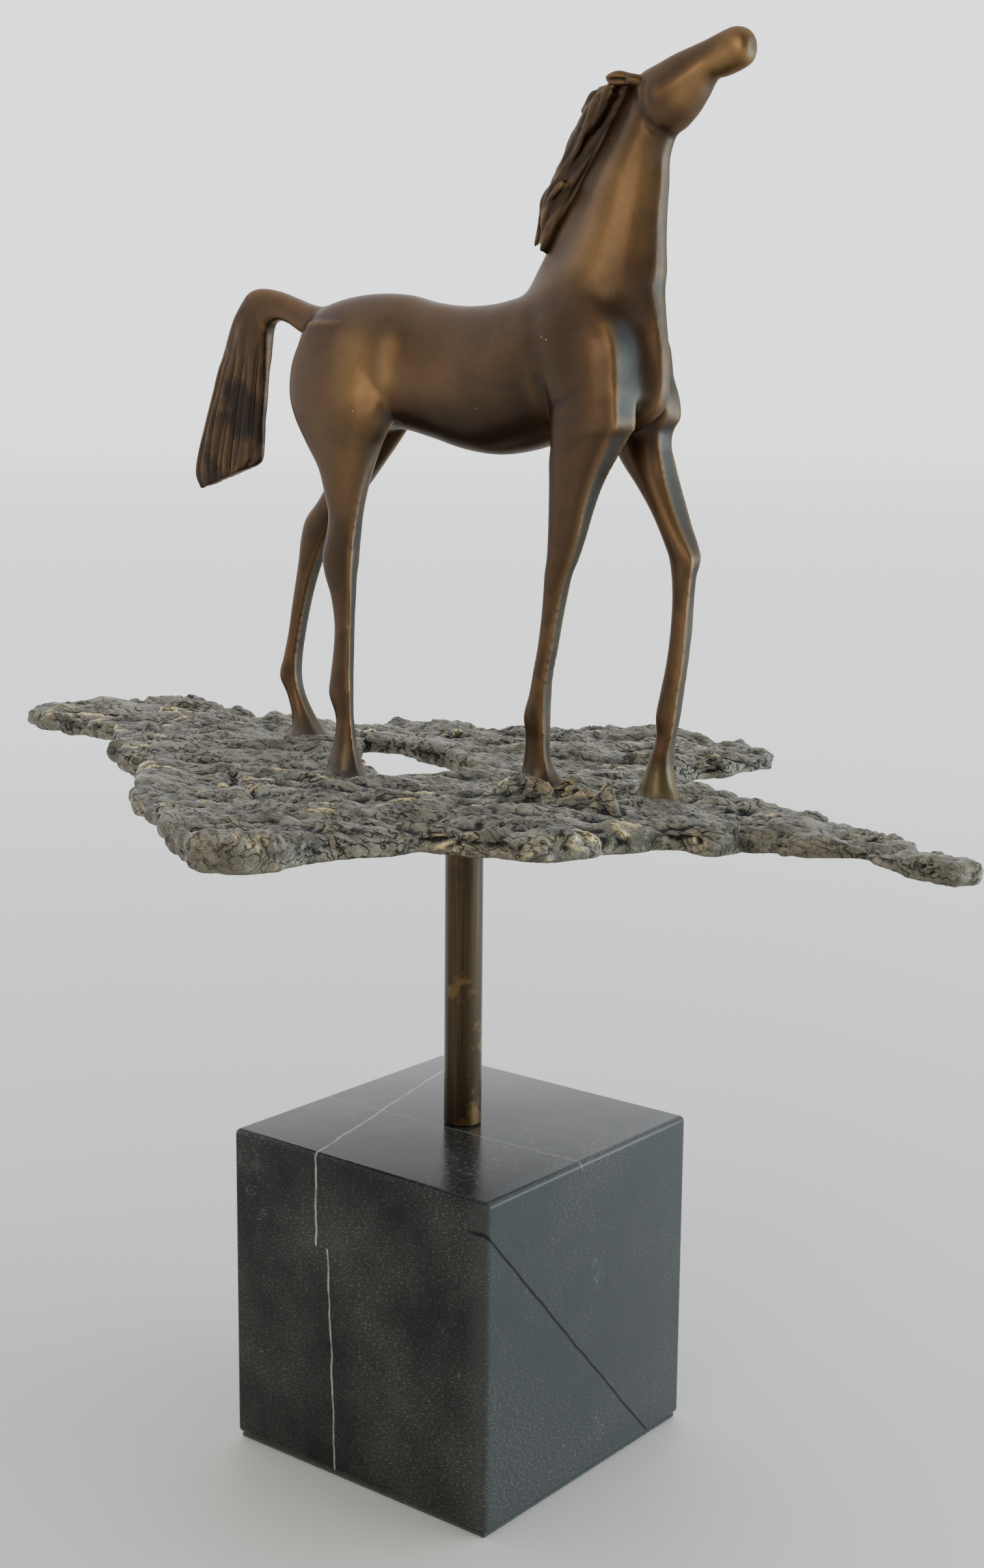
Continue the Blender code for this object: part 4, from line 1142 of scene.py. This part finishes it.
def bark_bronze():
    """Grey-green patina on the bark, straw-gold flecks on its ridges and black in its cracks."""
    shade = Shade("bronze_slab")
    grain = shade.stretched((1, 2, 1.8), -math.atan2(GRAIN[1], GRAIN[0]))
    mottle = shade.noise(75, 4, 0.6, grain)
    wide_steps, wide_cracks = flaked(shade.noise(42, 4, 0.5, grain), (0.42, 0.5, 0.58))
    fine_steps, fine_cracks = flaked(shade.noise(120, 3, 0.5, grain), (0.46, 0.55))
    grey = shade.mix(mottle.span(0.35, 0.65), (0.06, 0.059, 0.046), (0.222, 0.21, 0.158))
    grey = shade.mix(shade.noise(16, 2).span(0.4, 0.65, 0, 0.5), grey, (0.1, 0.088, 0.06))
    knot = shade.attribute("knot")
    grey = shade.mix(knot * 0.75, grey, (0.042, 0.03, 0.019))
    gate = (shade.noise(30, 2).span(0.54, 0.6) * mottle.span(0.5, 0.6)).most(knot * 0.3)
    gold = shade.attribute("crest").span(0.25, 0.7) * gate
    colour = shade.mix(gold, grey, (0.6, 0.46, 0.2))
    cracks = shade.noise(25, 2).span(0.36, 0.56, 0.15, 0.95) * wide_cracks
    colour = shade.mix(cracks, colour, (0.009, 0.008, 0.007))
    colour = shade.mix(fine_cracks * 0.35, colour, (0.014, 0.013, 0.01))
    colour = shade.mix(shade.attribute("hollow").span(0.08, 0.5), colour, (0.005, 0.0048, 0.004))
    colour = shade.mix(shade.attribute("smooth_metal") * 0.5, colour, (0.09, 0.08, 0.056))
    shade.set(Base_Color=colour, Metallic=0.5, Roughness=gold.span(0, 0.6, 0.52, 0.34))
    grit = shade.noise(330, 4, 0.6, grain)
    shade.bump(grit * 0.5 + wide_steps * 0.7 + fine_steps * 0.3, 0.0014)
    return shade.material


def post_brass():
    """Satin brown-gold tube with long scratches, a painted shadow of the slab at its top and a painted
    highlight streak below.
    """
    shade = Shade("bronze_post")
    streaks = shade.noise(420, 4, 0.6, shade.stretched((1, 1, 0.02)))
    height = shade.axes()[2]
    colour = shade.mix(streaks.span(0.35, 0.65), (0.026, 0.0185, 0.01), (0.06, 0.043, 0.022))
    # Painted shadow of the slab over the top of the post
    colour = shade.mix(height.span(0.2, 0.243, 0, 0.75), colour, (0.018, 0.014, 0.01))
    # Painted highlight: a golden streak of light on the lower half of the post
    painted_highlight = shade.noise(70, 3, 0.6).span(0.56, 0.64) * height.span(0.215, 0.14, 0.2, 0.9)
    colour = shade.mix(painted_highlight, colour, (0.13, 0.082, 0.034))
    shade.set(Base_Color=colour, Metallic=0.85, Roughness=streaks.span(0.3, 0.7, 0.42, 0.3))
    shade.bump(streaks, 0.00015, 0.7)
    return shade.material


def steel():
    shade = Shade("steel_bright")
    brushed = shade.noise(600, 3, 0.6, shade.stretched((1, 1, 0.1)))
    shade.set(Base_Color=(0.56, 0.57, 0.58), Metallic=1, Roughness=brushed.span(0.3, 0.7, 0.24, 0.4))
    shade.bump(brushed, 0.0001, 0.5)
    return shade.material


def pin_bronze():
    shade = Shade("bronze_pin")
    mottle = shade.noise(400, 3)
    colour = shade.mix(mottle, (0.3, 0.18, 0.08), (0.55, 0.36, 0.17))
    shade.set(Base_Color=colour, Metallic=1, Roughness=mottle.span(0.3, 0.7, 0.3, 0.5))
    shade.bump(mottle, 0.0001, 0.5)
    return shade.material


def black_marble():
    """Polished black stone with brown specks, a pale vein, a hair-fine one and a dark one, painted paler on
    its +X face.
    """
    shade = Shade("stone_block")
    x, y, z = shade.axes()
    cloud = shade.noise(22, 4, 0.6)
    speck = shade.noise(700, 3, 0.7, shade.stretched((1, 1, 2.2)))
    wander = shade.noise(90, 3).span(0, 1, -0.0011, 0.0011)

    def vein(along, shift, half, part):
        """Mask of a thin sheet in the stone, across the given direction, in part of the block."""
        away = x * along[0] + y * along[1] + z * along[2] + shift
        return (away + wander).size().span(half, half * 0.45) * part

    colour = shade.mix(cloud.span(0.35, 0.7), (0.0095, 0.0114, 0.0118), (0.032, 0.036, 0.036))
    # Painted light: the +X face, where the window light falls, is painted a paler blue-grey
    colour = shade.mix(x.span(0.05, 0.0596, 0, 0.8), colour, (0.044, 0.049, 0.05))
    brown = speck.span(0.53, 0.68) * cloud.span(0.4, 0.65, 0.25, 0.9)
    colour = shade.mix(brown, colour, (0.13, 0.11, 0.088))
    pale = shade.noise(34, 5, 0.7).span(0.62, 0.72, 0, 0.35) * speck.span(0.45, 0.6)
    colour = shade.mix(pale, colour, (0.24, 0.24, 0.23))
    main = vein((1, 0.26, 0), 0.0341, 0.0006, z.span(0.0868, 0.0872))
    main = main.most(vein((1, 0.26, 0.04), 0.02536, 0.00052, z.span(0.0872, 0.0868)))
    main = main * shade.noise(160, 2).span(0.3, 0.55, 0.45, 1)
    colour = shade.mix(main, colour, (0.26, 0.26, 0.245))
    hair = vein((-0.037, 1, 0), 0.0087, 0.0004, z.span(0.118, 0.12))
    colour = shade.mix(hair * 0.35, colour, (0.3, 0.28, 0.25))
    dark = vein((0, 1.103, 1), -0.0444, 0.001, x.span(0.05, 0.055))
    colour = shade.mix(dark * 0.85, colour, (0.004, 0.005, 0.008))
    shade.set(Base_Color=colour, Roughness=speck.span(0.3, 0.7, 0.14, 0.27), Specular_IOR_Level=0.1)
    shade.bump(speck + shade.noise(300, 3), 0.00004, 0.4)
    return shade.material


def green_felt():
    shade = Shade("felt_sheet")
    fibre = shade.noise(900, 5, 0.7)
    colour = shade.mix(fibre, (0.003, 0.009, 0.006), (0.01, 0.026, 0.018))
    shade.set(Base_Color=colour, Roughness=0.95, Sheen_Weight=0.3)
    shade.bump(fibre, 0.0006)
    return shade.material


# ---------------------------------------------------------------- studio

def make_stage():
    bm = bmesh.new()
    bmesh.ops.create_grid(bm, x_segments=1, y_segments=1, size=FLOOR_REACH)
    floor = to_object(bm, "floor", smooth=False)
    shade = Shade("pale_floor")
    x, y, _ = shade.axes()
    away = shade.math("SQRT", x * x + y * y)
    colour = shade.mix(away.span(0.25, 1.8), (0.5, 0.495, 0.46), (0.93, 0.92, 0.905))
    # Painted light: far off, the floor glows so that it blends into the pale surroundings
    shade.set(Base_Color=colour, Roughness=0.6, Emission_Color=(0.96, 0.98, 1),
              Emission_Strength=away.span(2, 14, 0, 0.5))
    floor.data.materials.append(shade.material)
    area_light("window", (1.3, 0.85, 0.3), (0, 0, 0.25), (1.5, 0.9), 37, (0.76, 0.89, 1))
    area_light("room", (0.25, -1.8, 0.95), (0, 0, 0.35), (1.2, 0.8), 15.5, (1, 0.84, 0.64))


def make_sky():
    """Pale surroundings, dimmer behind the viewer than above and behind the statue."""
    world = bpy.data.worlds.new("studio")
    bpy.context.scene.world = world
    world.use_nodes = True
    tree = world.node_tree
    place = tree.nodes.new("ShaderNodeTexCoord")
    towards = tree.nodes.new("ShaderNodeVectorMath")
    towards.operation = "DOT_PRODUCT"
    towards.inputs[1].default_value = (0.62, -0.78, -0.12)
    tree.links.new(place.outputs["Generated"], towards.inputs[0])
    ramp = tree.nodes.new("ShaderNodeMapRange")
    tree.links.new(towards.outputs["Value"], ramp.inputs[0])
    for socket, value in zip(ramp.inputs[1:5], (-0.3, 0.75, 2.1, 0.26)):
        socket.default_value = value
    background = tree.nodes["Background"]
    background.inputs["Color"].default_value = (0.94, 0.96, 1, 1)
    tree.links.new(ramp.outputs[0], background.inputs["Strength"])


clear_default_scene()
make_camera()
make_stage()
make_sky()

skin = sculpt_horse()
castings = split_horse(skin)
bpy.data.objects.remove(skin, do_unlink=True)
for side, sign in (("right", -1), ("left", 1)):
    castings[f"ear_{side}"] = sculpt_ear(f"ear_{side}_look", sign)
castings["mane"] = sculpt_mane()
castings["tail_switch"] = sculpt_switch()
castings["terrain_slab"] = sculpt_slab()
castings["support_post"] = make_post()
castings["marble_base"] = make_block()
castings["base_felt"] = make_felt()

body = body_bronze()
hair = hair_bronze()
brass = post_brass()
steel_finish = steel()
pin_finish = pin_bronze()
finishes = {"mane": ("bronze_hair", hair), "tail_switch": ("bronze_hair", hair),
            "terrain_slab": ("bronze_slab", bark_bronze()), "support_post": ("bronze_post", brass),
            "marble_base": ("stone", black_marble()), "base_felt": ("felt", green_felt())}
for node, piece in castings.items():
    slot, material = finishes.get(node, ("bronze_body", body))
    piece.data.materials.append(material)
    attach(piece, "root")
    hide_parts(node)

hidden = {"post_boss": brass, "tie_rod": steel_finish, "rod_nut": steel_finish, "rod_washer": steel_finish}
for place in ("fore_right", "fore_left", "hind_right", "hind_left"):
    hidden[f"hoof_pin_{place}"] = pin_finish
for node, material in hidden.items():
    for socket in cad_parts[node].material_slots:
        socket.material = material
